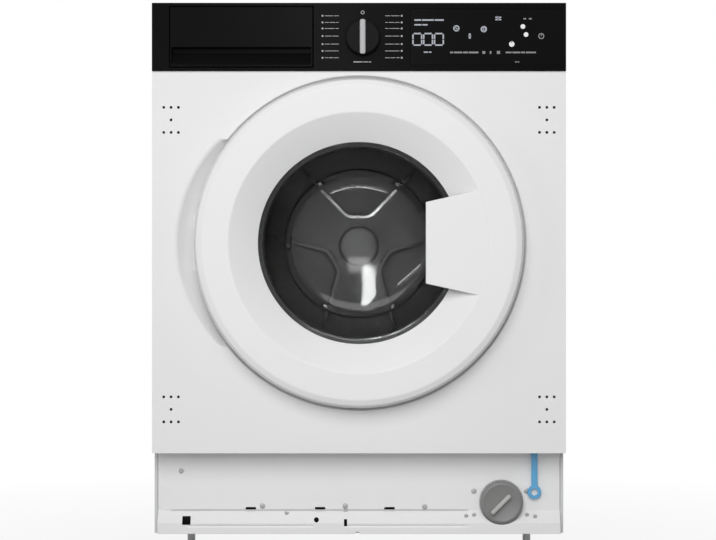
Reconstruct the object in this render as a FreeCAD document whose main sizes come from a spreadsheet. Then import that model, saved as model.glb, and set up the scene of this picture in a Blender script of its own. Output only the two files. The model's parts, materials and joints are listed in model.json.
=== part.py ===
import FreeCAD, Part
import os
import re
import Sketcher
from FreeCAD import Placement, Rotation, Vector

# An integrated washing machine, in millimetres. +Z is up, the front looks along -Y,
# and the origin is the centre of the floor rectangle under the machine.

SIZES = {
    # Overall box
    "cabinet_width": 595,
    "overall_height": 820,
    "overall_depth": 560,
    "door_proud": 34,
    "rear_stub": 12,
    "sheet": 1,
    "running_gap": 0.3,
    # Heights of the front's bands
    "base_height": 53.5,
    "plinth_top": 173,
    "plinth_recess": 40,
    "fascia_height": 98,
    "fascia_proud": 3,
    "fascia_depth": 30,
    "fascia_wall": 2.5,
    # Common axis of door, drum and tub
    "axis_rise": 27.5,
    # Pressed recess of the front panel
    "recess_depth": 14,
    "recess_gap": 5,
    "scoop_inset": 26,
    "hinge_scoop_shift": 52,
    "hinge_scoop_half": 149,
    "mouth_room": 16,
    "mouth_collar": 14,
    # Screw holes for a furniture door's hinges
    "screw_inset": 27.5,
    "screw_margin_low": 63,
    "screw_margin_high": 70,
    "screw_column": 10.5,
    "screw_row": 18,
    "screw_hole_radius": 2,
    "side_flange": 4.5,
    "panel_gap": 0.5,
    # Door
    "door_wall": 3,
    "door_edge": 12,
    "rim_width": 50,
    "dish_width": 42,
    "dish_depth": 24,
    "back_inset": 20,
    "door_back_gap": 3,
    "glass_thickness": 4,
    "glass_flange": 12,
    "glass_depth": 92,
    "glass_taper": 32,
    "handle_reach": 49,
    "handle_half": 58,
    "handle_flare": 80,
    "handle_plate": 4,
    # Door hinge
    "hinge_inset": 10,
    "hinge_out": 6,
    "hinge_pin_radius": 3,
    "hinge_knuckle_radius": 6,
    "hinge_arm_half": 21,
    "hinge_ear": 18,
    "hinge_arm_reach": 52,
    "hinge_plate": 2.5,
    "shaft_clearance": 0.05,
    "side_clearance": 0.5,
    # Door hook and lock
    "hook_inset": 36,
    "hook_width": 12,
    "hook_thickness": 8,
    "hook_length": 16,
    "hook_pin_radius": 2,
    "hook_ear": 4,
    "lock_depth": 26,
    "lock_height": 70,
    "lock_width": 34,
    # Detergent drawer
    "drawer_left": 25,
    "drawer_width": 207,
    "drawer_margin": 5,
    "drawer_gap": 1,
    "drawer_front": 20,
    "grip_top": 34,
    "grip_base": 4,
    "grip_depth": 15,
    "tray_rear_room": 310,
    "tray_wall": 2.5,
    "tray_side": 10,
    "tray_floor": 24,
    "tray_height": 50,
    "housing_gap": 2,
    "housing_wall": 2.5,
    "divider_first": 70,
    "divider_second": 130,
    "siphon_length": 60,
    "hose_radius": 18,
    "hose_wall": 3,
    # Programme knob and control electronics
    "knob_gap": 70.8,
    "knob_drop": 50.3,
    "knob_radius": 25,
    "knob_height": 14,
    "knob_edge": 2,
    "grip_bar_width": 8.5,
    "grip_bar_height": 7,
    "knob_shaft_radius": 3,
    "display_gap": 68.7,
    "display_inset": 7.5,
    "display_margin": 9,
    "display_thickness": 1.5,
    "board_thickness": 1.6,
    "board_standoff": 8,
    "board_post_radius": 3,
    # Tub
    "tub_side_gap": 44.5,
    "tub_band_gap": 21.5,
    "tub_wall": 5,
    "tub_front": 56,
    "tub_rear_room": 78,
    "tub_joint": 150,
    "tub_mouth_gap": 12,
    "tub_lip": 14,
    "tub_flange": 6,
    "bearing_hub_radius": 52,
    "bearing_hub_length": 34,
    # Drum
    "drum_gap": 12,
    "drum_sheet": 1.5,
    "drum_front_gap": 10,
    "drum_rear_gap": 30,
    "drum_mouth_gap": 2,
    "drum_hub_dish": 14,
    "dish_flat_radius": 56,
    "dish_edge_radius": 84,
    "lifter_height": 56,
    "lifter_width": 104,
    "lifter_top": 34,
    "lifter_end_gap": 20,
    "spider_thickness": 14,
    "spider_arm": 44,
    "shaft_radius": 15,
    "bearing_outer_radius": 31,
    "bearing_width": 15,
    "seal_width": 4,
    # Belt drive
    "pulley_inset": 113,
    "pulley_width": 18,
    "pulley_rim": 6,
    "pulley_offset": 4,
    "pulley_hub": 28,
    "pulley_spoke": 12,
    "belt_thickness": 3,
    "belt_width": 12,
    "motor_gap": 19,
    "motor_radius": 58,
    "motor_length": 150,
    "motor_pulley_radius": 12,
    "motor_shaft_radius": 6,
    "motor_mount": 40,
    "motor_shaft_depth": 30,
    # Gasket
    "gasket_wall": 4,
    "lip_gap": 2,
    "clamp_wire": 3,
    # Weights, suspension and heater
    "weight_width": 230,
    "weight_depth": 140,
    "weight_rear": 10,
    "weight_chord": 100,
    "weight_top": 46,
    "front_weight_depth": 28,
    "spring_side": 35.5,
    "spring_y": 70,
    "spring_radius": 11,
    "spring_top_drop": 24,
    "spring_plate": 3,
    "spring_wire": 3,
    "lug_rise": 120,
    "lug_height": 8,
    "damper_inset": 103,
    "damper_y": 40,
    "damper_radius": 14,
    "damper_rod_radius": 7,
    "damper_length": 110,
    "heater_radius": 3.5,
    "heater_span": 46,
    "heater_length": 200,
    # Base, feet and plinth
    "tray_base_wall": 3,
    "tray_base_height": 34,
    "foot_inset": 48,
    "foot_front_inset": 70,
    "foot_rear_inset": 34,
    "foot_pad_radius": 22,
    "foot_pad_height": 14,
    "foot_stem_radius": 6,
    "foot_shoulder": 3,
    "foot_boss_radius": 16,
    "foot_thread_end": 26,
    "lip_out": 12,
    "lip_top": 86,
    "lip_low": 69,
    "slot_inset": 132.5,
    "slot_pitch": 101,
    "slot_width": 15,
    "slot_height": 5,
    "peg_hole": 12,
    "peg_inset": 41,
    "peg_hole_height": 66.5,
    # Drain pump and filter
    "filter_inset": 90.3,
    "filter_height": 98.8,
    "filter_cap_radius": 31,
    "filter_cap_height": 16,
    "filter_collar": 3,
    "filter_bore": 24.5,
    "filter_length": 90,
    "filter_wall": 3.5,
    "filter_seal_width": 5,
    "filter_seal_depth": 3,
    "filter_grip_width": 6.5,
    "pump_gap": 2,
    "pump_length": 70,
    # Emergency pull strap
    "strap_inset": 42.5,
    "strap_width": 9,
    "strap_thickness": 2.5,
    "strap_drop": 59.5,
    "strap_ring_radius": 10,
    "strap_ring_hole": 5,
    # Rear connections
    "inlet_inset": 67.5,
    "inlet_drop": 45,
    "inlet_radius": 13.2,
    "inlet_bore": 9,
    "valve_width": 44,
    "valve_height": 40,
    "valve_depth": 55,
    "outlet_shift": 25,
    "outlet_rise": 10,
    "stub_flange": 2,
    "outlet_radius": 11,
    "outlet_bore": 8.5,
    "gland_inset": 97.5,
    "gland_radius": 9,
    "gland_bore": 4,
    "flange_lap": 5,
    "cover_inset": 73,
    "cover_lap": 14,
    "transit_inset": 107.5,
    "transit_rise": 150,
    "transit_radius": 14,
}

# Sizes that follow from others, so that the machine stays whole when one of them changes.
DERIVED = {
    "front_height": "overall_height - fascia_height - plinth_top",
    "tub_outer": "min(cabinet_width / 2 - tub_side_gap; front_height / 2 - tub_band_gap)",
    "drum_axis_height": "plinth_top + front_height / 2 + axis_rise",
    "hinge_scoop_radius": "door_radius - scoop_inset",
    "mouth_radius": "window_radius + mouth_room",
    "screw_group_x": "cabinet_width / 2 - screw_inset",
    "screw_group_low": "plinth_top + screw_margin_low",
    "screw_group_high": "plinth_top + front_height - screw_margin_high",
    "door_radius": "drum_radius",
    "door_flat_radius": "door_radius - rim_width",
    "window_radius": "door_flat_radius - dish_width",
    "door_back_radius": "door_radius - back_inset",
    "glass_end_radius": "window_radius - glass_taper",
    "handle_inner": "window_radius - handle_reach",
    "hinge_shift": "door_radius - hinge_inset",
    "hook_x": "door_radius - hook_inset",
    "knob_x": "drawer_left + drawer_width + knob_gap - cabinet_width / 2",
    "display_left": "knob_x + display_gap",
    "display_right": "cabinet_width / 2 - display_inset",
    "tub_inner_radius": "tub_outer - tub_wall",
    "tub_length": "overall_depth - rear_stub - tub_rear_room - door_proud - tub_front",
    "tub_mouth": "mouth_radius + tub_mouth_gap",
    "tray_length": "overall_depth - tray_rear_room",
    "drum_radius": "tub_inner_radius - drum_gap",
    "drum_length": "tub_length - tub_wall - drum_front_gap - drum_rear_gap",
    "drum_mouth": "mouth_radius + drum_mouth_gap",
    "pulley_radius": "tub_outer - pulley_inset",
    "motor_drop": "tub_outer + motor_radius + motor_gap",
    "gasket_lip": "window_radius + lip_gap",
    "weight_start": "tub_length - tub_joint - weight_rear - weight_depth",
    "spring_x": "cabinet_width / 2 - spring_side",
    "damper_x": "tub_outer - damper_inset",
    "slot_start": "slot_inset - cabinet_width / 2",
    "peg_hole_x": "peg_inset - cabinet_width / 2",
    "filter_x": "cabinet_width / 2 - filter_inset",
    "pump_radius": "filter_height - base_height - tray_base_wall - pump_gap",
    "strap_x": "cabinet_width / 2 - strap_inset",
    "inlet_x": "cabinet_width / 2 - inlet_inset",
    "inlet_height": "overall_height - inlet_drop",
    "gland_x": "cabinet_width / 2 - gland_inset",
    "cover_radius": "tub_outer - cover_inset",
    "transit_x": "cabinet_width / 2 - transit_inset",
}

doc = FreeCAD.newDocument("integrated_washing_machine")
sizes = doc.addObject("Spreadsheet::Sheet", "Sizes")
for row, (alias, value) in enumerate(SIZES.items(), start=1):
    sizes.set("A%d" % row, alias.replace("_", " "))
    sizes.set("B%d" % row, str(value))
    sizes.setAlias("B%d" % row, alias)
doc.recompute()

# Places that many pieces share, as expressions over the sheet.
HALF = "(cabinet_width / 2)"
FRONT = "(-overall_depth / 2)"
PANEL = "(door_proud - overall_depth / 2)"
FASCIA = "(door_proud - fascia_proud - overall_depth / 2)"
FASCIA_BACK = "(door_proud - fascia_proud - overall_depth / 2 + fascia_depth)"
FASCIA_BASE = "(overall_height - fascia_height)"
PLINTH = "(door_proud - overall_depth / 2 + plinth_recess)"
REAR = "(overall_depth / 2 - rear_stub)"
FLOOR = "(door_proud - overall_depth / 2 + recess_depth)"
AXIS = "drum_axis_height"
TURN = {
    "x": Rotation(Vector(0, 1, 0), 90),
    "y": Rotation(Vector(1, 0, 0), -90),
    "z": Rotation(),
    "front": Rotation(Vector(1, 0, 0), 90),
}
NODES = []


def expression(text):
    """Words that name a size become references to its cell, and derived ones their formula."""
    def cell(word):
        name = word.group(0)
        if name in DERIVED:
            return "(%s)" % expression(DERIVED[name])
        return "Sizes." + name if name in SIZES else name
    return re.sub(r"[a-z][a-z_]*", cell, text)


def number(text):
    """The value that an expression has now, for a sketch's first guess."""
    return float(sizes.evalExpression(expression(text)))


def bind(obj, prop, text):
    obj.setExpression(prop, expression(text))


def place(obj, base, turn="z"):
    """Set an object's turn and tie its base point to the sheet."""
    rotation = turn if isinstance(turn, Rotation) else TURN[turn]
    obj.Placement = Placement(Vector(), rotation)
    for axis, text in zip("xyz", base):
        bind(obj, "Placement.Base." + axis, text)
    return obj


def node(obj, label):
    """Name an object as a finished sub-part."""
    obj.Label = label
    NODES.append(obj)
    return obj


def box(name, x, y, z):
    """A block between two places on each axis."""
    obj = doc.addObject("Part::Box", name)
    for prop, span in (("Length", x), ("Width", y), ("Height", z)):
        bind(obj, prop, "(%s) - (%s)" % (span[1], span[0]))
    return place(obj, (x[0], y[0], z[0]))


def rod(name, radius, centre, span, axis):
    """A cylinder along one axis; centre gives the other two coordinates in x, y, z order."""
    obj = doc.addObject("Part::Cylinder", name)
    bind(obj, "Radius", radius)
    bind(obj, "Height", "(%s) - (%s)" % (span[1], span[0]))
    base = list(centre)
    base.insert("xyz".index(axis), span[0])
    return place(obj, base, axis)


def fuse(name, *shapes):
    obj = doc.addObject("Part::MultiFuse", name)
    obj.Shapes = list(shapes)
    return obj


def common(name, *shapes):
    obj = doc.addObject("Part::MultiCommon", name)
    obj.Shapes = list(shapes)
    return obj


def cut(name, base, *tools):
    obj = doc.addObject("Part::Cut", name)
    obj.Base = base
    obj.Tool = tools[0] if len(tools) == 1 else fuse(name + "_tools", *tools)
    return obj


def tube(name, outer, inner, centre, span, axis):
    """A round tube along one axis."""
    return cut(name, rod(name + "_outer", outer, centre, span, axis),
               rod(name + "_bore", inner, centre, span, axis))


def sketch_on(body, role, points, circles=()):
    """A sketch of one closed outline and any circles, each point tied to the sheet."""
    sketch = body.newObject("Sketcher::SketchObject", body.Name + "_outline")
    plane = [item for item in body.Origin.OriginFeatures if item.Role == role][0]
    sketch.AttachmentSupport = [(plane, "")]
    sketch.MapMode = "FlatFace"
    corners = [Vector(number(across), number(along), 0) for across, along in points]
    for index, corner in enumerate(corners):
        following = corners[(index + 1) % len(corners)]
        sketch.addGeometry(Part.LineSegment(corner, following), False)
    for index in range(len(corners)):
        following = (index + 1) % len(corners)
        sketch.addConstraint(Sketcher.Constraint("Coincident", index, 2, following, 1))
    for index, (across, along) in enumerate(points):
        tie(sketch, "DistanceX", across, -1, 1, index, 1)
        tie(sketch, "DistanceY", along, -1, 1, index, 1)
    for across, along, radius in circles:
        centre = Vector(number(across), number(along), 0)
        index = sketch.addGeometry(Part.Circle(centre, Vector(0, 0, 1), number(radius)), False)
        tie(sketch, "DistanceX", across, -1, 1, index, 3)
        tie(sketch, "DistanceY", along, -1, 1, index, 3)
        tie(sketch, "Radius", radius, index)
    return sketch


def tie(sketch, kind, text, *elements):
    """A dimension of a sketch whose value follows the sheet."""
    index = sketch.addConstraint(Sketcher.Constraint(kind, *elements, number(text)))
    bind(sketch, "Constraints[%d]" % index, text)


def turned(name, points, base, axis):
    """A body turned about an axis; points are (radius, place along the axis)."""
    body = doc.addObject("PartDesign::Body", name)
    sketch = sketch_on(body, "XZ_Plane", points)
    feature = body.newObject("PartDesign::Revolution", name + "_turn")
    feature.Profile = sketch
    feature.ReferenceAxis = (sketch, ["V_Axis"])
    feature.Angle = 360
    return place(body, base, axis)


def prism(name, points, span, axis, circles=()):
    """A body padded along one axis; points hold the other two coordinates in x, y, z order."""
    body = doc.addObject("PartDesign::Body", name)
    start = span[0]
    turn = axis
    if axis == "y":
        start = "-(%s)" % span[1]
        turn = "front"
    if axis == "x":
        points = [("-(%s)" % high, deep) for deep, high in points]
    sketch = sketch_on(body, "XY_Plane", points, circles)
    bind(sketch, "AttachmentOffset.Base.z", start)
    feature = body.newObject("PartDesign::Pad", name + "_pad")
    feature.Profile = sketch
    bind(feature, "Length", "(%s) - (%s)" % (span[1], span[0]))
    return place(body, ("0", "0", "0"), turn)


def rectangle(low_x, high_x, low_z, high_z):
    return [(low_x, low_z), (high_x, low_z), (high_x, high_z), (low_x, high_z)]


def plus(place_text, step):
    return "(%s + (%s))" % (place_text, step)


def minus(place_text, step):
    return "(%s - (%s))" % (place_text, step)


# Cabinet
INNER = "(cabinet_width / 2 - sheet)"
BACK_FACE = minus(REAR, "sheet")
ROOF = "(overall_height - sheet)"
SPRING_TOP = minus(ROOF, "spring_top_drop")


def side_panel(label, sign):
    """A steel side, set back at plinth and fascia, with a low front flange and a spring bracket."""
    def outward(low, high):
        return (low, high) if sign > 0 else ("-" + high, "-" + low)
    outline = [
        (PLINTH, "base_height"), (BACK_FACE, "base_height"), (BACK_FACE, ROOF), (FASCIA_BACK, ROOF),
        (FASCIA_BACK, FASCIA_BASE), (plus(PANEL, "sheet"), FASCIA_BASE),
        (plus(PANEL, "sheet"), "plinth_top"), (PLINTH, "plinth_top"),
    ]
    side = prism(label + "_skin", outline, outward(INNER, HALF), "x")
    strip = box(label + "_flange", outward(minus(HALF, "side_flange"), HALF),
                (PLINTH, plus(PLINTH, "sheet")), ("base_height", "plinth_top"))
    depth = ("spring_y - 2 * spring_radius", "spring_y + 2 * spring_radius")
    shelf_top = plus(SPRING_TOP, "spring_plate")
    shelf = box(label + "_shelf", outward(minus(INNER, "5 * spring_radius"), INNER), depth,
                (SPRING_TOP, shelf_top))
    tab = box(label + "_tab", outward(minus(INNER, "spring_plate"), INNER), depth,
              (minus(SPRING_TOP, "2 * spring_radius"), shelf_top))
    node(fuse(label, side, strip, shelf, tab), label)


def recess(name, grow, deep):
    """The door's pressed recess: a disc and the hinge side's scoop, grown by a wall."""
    span = (minus(PANEL, "sheet"), deep) if grow == "0" else (PANEL, deep)
    disc = rod(name + "_disc", plus("door_radius + recess_gap", grow), ("0", AXIS), span, "y")
    round_scoop = rod(name + "_round", plus("hinge_scoop_radius", grow),
                      ("-hinge_scoop_shift", AXIS), span, "y")
    reach = plus("hinge_scoop_half", grow)
    band = box(name + "_band", ("-" + HALF, "0"), span, (minus(AXIS, reach), plus(AXIS, reach)))
    return fuse(name, disc, common(name + "_scoop", round_scoop, band))


def furniture_screw_holes():
    """Seven small holes in each of four groups, for the hinges of a kitchen door."""
    holes = []
    span = (minus(PANEL, "sheet"), plus(PANEL, "2 * sheet"))
    offsets = [(-1, 1), (0, 1), (1, 1), (0, 0), (-1, -1), (0, -1), (1, -1)]
    for side in (-1, 1):
        for level in ("screw_group_low", "screw_group_high"):
            for column, row in offsets:
                x = "%d * screw_group_x + %d * screw_column" % (side, column)
                z = "%s + %d * screw_row" % (level, row)
                holes.append(rod("screw_hole", "screw_hole_radius", (x, z), span, "y"))
    return holes


def front_panel():
    face = box("front_sheet", ("-" + HALF, HALF), (PANEL, plus(PANEL, "sheet")),
               ("plinth_top", FASCIA_BASE))
    ledge = box("front_ledge", ("-" + INNER, INNER), (PANEL, plus(PLINTH, "sheet")),
                ("plinth_top", plus("plinth_top", "sheet")))
    collar = rod("mouth_collar_wall", plus("mouth_radius", "sheet"), ("0", AXIS),
                 (FLOOR, plus(FLOOR, "mouth_collar")), "y")
    pressing = recess("recess_outer", "sheet", plus(FLOOR, "sheet"))
    pressed = fuse("front_pressed", face, ledge, pressing, collar)
    mouth = rod("mouth_hole", "mouth_radius", ("0", AXIS),
                (minus(PANEL, "sheet"), plus(FLOOR, "mouth_collar + sheet")), "y")
    lock_slot = box("lock_slot", ("hook_x - hook_width", "hook_x + hook_width"),
                    (PANEL, plus(FLOOR, "2 * sheet")), (AXIS + " - hook_width", AXIS + " + hook_width"))
    strap_slot = box("strap_slot", ("strap_x - strap_width / 2 - running_gap",
                                    "strap_x + strap_width / 2 + running_gap"),
                     (STRAP_FRONT + " - running_gap", STRAP_FRONT + " + strap_thickness + running_gap"),
                     ("plinth_top - sheet", "plinth_top + 2 * sheet"))
    tools = [recess("recess_inner", "0", FLOOR), mouth, lock_slot, strap_slot] + furniture_screw_holes()
    node(cut("front_panel", pressed, *tools), "front_panel")


def plinth_panel():
    """The set-back lower sheet with a bent lip, slots, a peg hole and the filter's hole."""
    outline = [
        (PLINTH, "plinth_top"), (PLINTH, "lip_top"), (minus(PLINTH, "lip_out"), "lip_low"),
        (minus(PLINTH, "lip_out"), "base_height"), (minus(PLINTH, "lip_out - sheet"), "base_height"),
        (minus(PLINTH, "lip_out - sheet"), "lip_low"), (plus(PLINTH, "sheet"), "lip_top"),
        (plus(PLINTH, "sheet"), "plinth_top"),
    ]
    edge = minus(HALF, "side_flange + panel_gap")
    bent = prism("plinth_bent", outline, ("-" + edge, edge), "x")
    through = (minus(PLINTH, "lip_out + sheet"), plus(PLINTH, "2 * sheet"))
    tools = [rod("filter_hole", "filter_cap_radius + sheet", ("filter_x", "filter_height"),
                 through, "y")]
    for index in range(3):
        left = "slot_start + %d * slot_pitch" % index
        tools.append(box("plinth_slot", (left, left + " + slot_width"), through,
                         ("lip_top", "lip_top + slot_height")))
    tools.append(box("plinth_peg", ("peg_hole_x", "peg_hole_x + peg_hole"), through,
                     ("peg_hole_height", "peg_hole_height + peg_hole")))
    node(cut("plinth_panel", bent, *tools), "plinth_panel")


def rear_panel():
    holes = [
        ("0", AXIS, "cover_radius - cover_lap"),
        ("-inlet_x", "inlet_height", "inlet_radius + running_gap"),
        ("gland_x", "inlet_height", "gland_radius + running_gap"),
        ("filter_x + outlet_shift", "filter_height + outlet_rise", "outlet_radius + running_gap"),
    ]
    for x, z in TRANSIT:
        holes.append((x, z, "transit_radius"))
    outline = rectangle("-" + HALF, HALF, "base_height", ROOF)
    node(prism("rear_panel", outline, (BACK_FACE, REAR), "y", holes), "rear_panel")


def transit_plugs():
    """Plastic plugs that close the transit bolts' holes."""
    plugs = []
    for x, z in TRANSIT:
        profile = [
            ("0", minus(REAR, "2 * sheet")), ("transit_radius - running_gap", minus(REAR, "2 * sheet")),
            ("transit_radius - running_gap", REAR), ("transit_radius + cover_lap / 3", REAR),
            ("transit_radius + cover_lap / 3", plus(REAR, "2 * sheet")), ("0", plus(REAR, "2 * sheet")),
        ]
        plugs.append(turned("transit_plug", profile, (x, "0", z), "y"))
    node(fuse("transit_plugs", *plugs), "transit_plugs")


def base_tray():
    """A plastic tray with a threaded boss at each foot."""
    low = "base_height"
    high = "(base_height + tray_base_height)"
    outer = box("tray_outer", ("-" + INNER, INNER), (plus(PLINTH, "sheet"), BACK_FACE), (low, high))
    inner = box("tray_inner", ("-(cabinet_width / 2 - sheet - tray_base_wall)",
                               "cabinet_width / 2 - sheet - tray_base_wall"),
                (plus(PLINTH, "sheet + tray_base_wall"), minus(BACK_FACE, "tray_base_wall")),
                (plus(low, "tray_base_wall"), plus(high, "sheet")))
    bosses = [rod("foot_boss", "foot_boss_radius", (x, y), (low, high), "z") for label, x, y in FEET]
    bores = [rod("foot_bore", "foot_stem_radius + shaft_clearance", (x, y),
                 (minus(low, "sheet"), plus(high, "sheet")), "z") for label, x, y in FEET]
    gate = "filter_cap_radius + 2 * flange_lap"
    notch = box("tray_notch", (minus("filter_x", gate), plus("filter_x", gate)),
                (PLINTH, plus(PLINTH, "2 * sheet + tray_base_wall")),
                (plus(low, "tray_base_wall"), plus(high, "sheet")))
    hollow = fuse("tray_bossed", cut("tray_hollow", outer, inner), *bosses)
    node(cut("base_tray", hollow, notch, *bores), "base_tray")


def foot(label, x, y):
    """A screw foot: a wide pad, a chamfered shoulder and the threaded stem."""
    profile = [
        ("0", "0"), ("foot_pad_radius", "0"), ("foot_pad_radius", "foot_pad_height / 2"),
        ("foot_stem_radius + foot_shoulder", "foot_pad_height"), ("foot_stem_radius", "foot_pad_height"),
        ("foot_stem_radius", "base_height + foot_thread_end"), ("0", "base_height + foot_thread_end"),
    ]
    node(turned(label, profile, (x, y, "0"), "z"), label)


STRAP_FRONT = minus(PLINTH, "lip_out / 2")
TRANSIT = [(side + "transit_x", AXIS + rise + "transit_rise")
           for side in ("-", "") for rise in (" - ", " + ")]
FEET = []
for side_name, side_sign in (("left", "-"), ("right", "")):
    foot_x = "%s(cabinet_width / 2 - foot_inset)" % side_sign
    FEET.append(("foot_front_" + side_name, foot_x, plus(PLINTH, "foot_front_inset")))
    FEET.append(("foot_rear_" + side_name, foot_x, minus(REAR, "foot_rear_inset")))

side_panel("side_panel_left", -1)
side_panel("side_panel_right", 1)
front_panel()
plinth_panel()
rear_panel()
transit_plugs()
node(turned("rear_cover", [("0", REAR), ("cover_radius", REAR), ("cover_radius", plus(REAR, "sheet")),
                           ("0", plus(REAR, "sheet"))], ("0", "0", AXIS), "y"), "rear_cover")
node(box("top_panel", ("-" + HALF, HALF), (FASCIA_BACK, REAR), (ROOF, "overall_height")), "top_panel")
base_tray()
for foot_label, foot_x, foot_y in FEET:
    foot(foot_label, foot_x, foot_y)


# Control fascia and detergent drawer
DRAWER_LEFT = "(drawer_left - cabinet_width / 2)"
DRAWER_RIGHT = "(drawer_left - cabinet_width / 2 + drawer_width)"
DRAWER_LOW = "(overall_height - fascia_height + drawer_margin)"
DRAWER_HIGH = "(overall_height - drawer_margin)"
DRAWER_BACK = plus(FASCIA, "drawer_front")
TRAY_LEFT = plus(DRAWER_LEFT, "tray_side")
TRAY_RIGHT = minus(DRAWER_RIGHT, "tray_side")
TRAY_LOW = plus(FASCIA_BASE, "tray_floor")
TRAY_HIGH = plus(TRAY_LOW, "tray_height")
TRAY_END = plus(DRAWER_BACK, "tray_length")
HOUSING_LOW = minus(TRAY_LOW, "housing_gap + housing_wall")
HOUSING_END = plus(TRAY_END, "housing_gap + housing_wall")
KNOB_Z = "(overall_height - knob_drop)"
DISPLAY_LOW = plus(FASCIA_BASE, "display_margin")
DISPLAY_HIGH = "(overall_height - display_margin)"
BOARD_FACE = plus(FASCIA, "fascia_wall + board_standoff")


def fascia():
    """A black moulded front, hollow behind, with the drawer's gap and seats for knob and display."""
    outer = box("fascia_outer", ("-" + HALF, HALF), (FASCIA, FASCIA_BACK), (FASCIA_BASE, "overall_height"))
    hollow = box("fascia_hollow", (minus("-" + HALF, "-fascia_wall"), minus(HALF, "fascia_wall")),
                 (plus(FASCIA, "fascia_wall"), plus(FASCIA_BACK, "sheet")),
                 (plus(FASCIA_BASE, "fascia_wall"), "overall_height - fascia_wall"))
    gap = box("drawer_gap_cut", (DRAWER_LEFT, DRAWER_RIGHT),
              (minus(FASCIA, "sheet"), plus(FASCIA_BACK, "sheet")), (DRAWER_LOW, DRAWER_HIGH))
    seat = box("display_seat", ("display_left", "display_right"), (minus(FASCIA, "sheet"),
               plus(FASCIA, "display_thickness")), (DISPLAY_LOW, DISPLAY_HIGH))
    bore = rod("knob_bore", "knob_shaft_radius + shaft_clearance", ("knob_x", KNOB_Z),
               (minus(FASCIA, "sheet"), plus(FASCIA, "2 * fascia_wall")), "y")
    node(cut("fascia", outer, hollow, gap, seat, bore), "fascia")


def drawer_front():
    """The drawer's face with a finger grip scooped out along its lower edge."""
    face = box("drawer_face", (plus(DRAWER_LEFT, "drawer_gap"), minus(DRAWER_RIGHT, "drawer_gap")),
               (FASCIA, DRAWER_BACK), (plus(DRAWER_LOW, "drawer_gap"), minus(DRAWER_HIGH, "drawer_gap")))
    scoop = [
        (minus(FASCIA, "sheet"), plus(FASCIA_BASE, "drawer_margin + grip_base")),
        (FASCIA, plus(FASCIA_BASE, "drawer_margin + grip_base")),
        (plus(FASCIA, "grip_depth"), plus(FASCIA_BASE, "grip_top - grip_depth / 2")),
        (plus(FASCIA, "grip_depth"), plus(FASCIA_BASE, "grip_top")),
        (minus(FASCIA, "sheet"), plus(FASCIA_BASE, "grip_top")),
    ]
    grip = prism("grip_scoop", scoop, (plus(DRAWER_LEFT, "drawer_gap + tray_wall"),
                                       minus(DRAWER_RIGHT, "drawer_gap + tray_wall")), "x")
    node(cut("drawer_front", face, grip), "drawer_front")


def drawer_tray():
    """An open tray with two dividers, behind the drawer's face."""
    outer = box("tray_block", (TRAY_LEFT, TRAY_RIGHT), (DRAWER_BACK, TRAY_END), (TRAY_LOW, TRAY_HIGH))
    walls = [TRAY_LEFT, plus(TRAY_LEFT, "divider_first"), plus(TRAY_LEFT, "divider_second"),
             minus(TRAY_RIGHT, "tray_wall")]
    cells = []
    for first, second in zip(walls, walls[1:]):
        cells.append(box("tray_cell", (plus(first, "tray_wall"), second),
                         (plus(DRAWER_BACK, "tray_wall"), minus(TRAY_END, "tray_wall")),
                         (plus(TRAY_LOW, "tray_wall"), plus(TRAY_HIGH, "sheet"))))
    node(cut("drawer_tray", outer, *cells), "drawer_tray")


def siphon_insert():
    """The softener cell's siphon cap: a cover plate with a hollow post that stands on the cell's floor."""
    left = plus(TRAY_LEFT, "divider_first + tray_wall + panel_gap")
    right = plus(TRAY_LEFT, "divider_second - panel_gap")
    back = minus(TRAY_END, "tray_wall + panel_gap")
    front = minus(back, "siphon_length")
    floor = plus(TRAY_LOW, "tray_wall")
    cover = box("siphon_cover", (left, right), (front, back), (minus(TRAY_HIGH, "2 * tray_wall"),
                minus(TRAY_HIGH, "tray_wall")))
    middle = ("(%s + %s) / 2" % (left, right), "(%s + %s) / 2" % (front, back))
    post = rod("siphon_post", "3 * tray_wall", middle, (floor, minus(TRAY_HIGH, "2 * tray_wall")), "z")
    bore = rod("siphon_bore", "2 * tray_wall", middle, (floor, minus(TRAY_HIGH, "2 * tray_wall")), "z")
    node(cut("siphon_insert", fuse("siphon_solid", cover, post), bore), "siphon_insert")


def dispenser_housing():
    """The box that the drawer slides in, open at the front, with a water spout below its rear."""
    gap = "housing_gap"
    wall = "housing_gap + housing_wall"
    high = plus(TRAY_HIGH, wall)
    start = plus(FASCIA_BACK, "sheet")
    outer = box("housing_outer", (minus(TRAY_LEFT, wall), plus(TRAY_RIGHT, wall)), (start, HOUSING_END),
                (HOUSING_LOW, high))
    inner = box("housing_inner", (minus(TRAY_LEFT, gap), plus(TRAY_RIGHT, gap)),
                (minus(start, "sheet"), plus(TRAY_END, gap)), (minus(TRAY_LOW, gap), plus(TRAY_HIGH, gap)))
    runner = box("housing_runner", (plus(TRAY_LEFT, "tray_side"), minus(TRAY_RIGHT, "tray_side")),
                 (start, plus(TRAY_END, gap)), (minus(TRAY_LOW, gap), minus(TRAY_LOW, "running_gap")))
    hanger = box("housing_hanger", (TRAY_LEFT, TRAY_RIGHT), (start, plus(start, "4 * housing_wall")),
                 (high, ROOF))
    spout = rod("spout_hole", "hose_radius - hose_wall", (HOSE_X, HOSE_Y),
                (minus(HOUSING_LOW, "sheet"), TRAY_LOW), "z")
    inlet = rod("inlet_hole", "inlet_bore", ("-inlet_x", "inlet_height"),
                (TRAY_END, plus(HOUSING_END, "sheet")), "y")
    shell = fuse("housing_shell", cut("housing_walls", outer, inner), runner, hanger)
    node(cut("dispenser_housing", shell, spout, inlet), "dispenser_housing")


HOSE_X = "(%s + %s) / 2" % (TRAY_LEFT, TRAY_RIGHT)
HOSE_Y = minus(TRAY_END, "2 * hose_radius")


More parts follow.
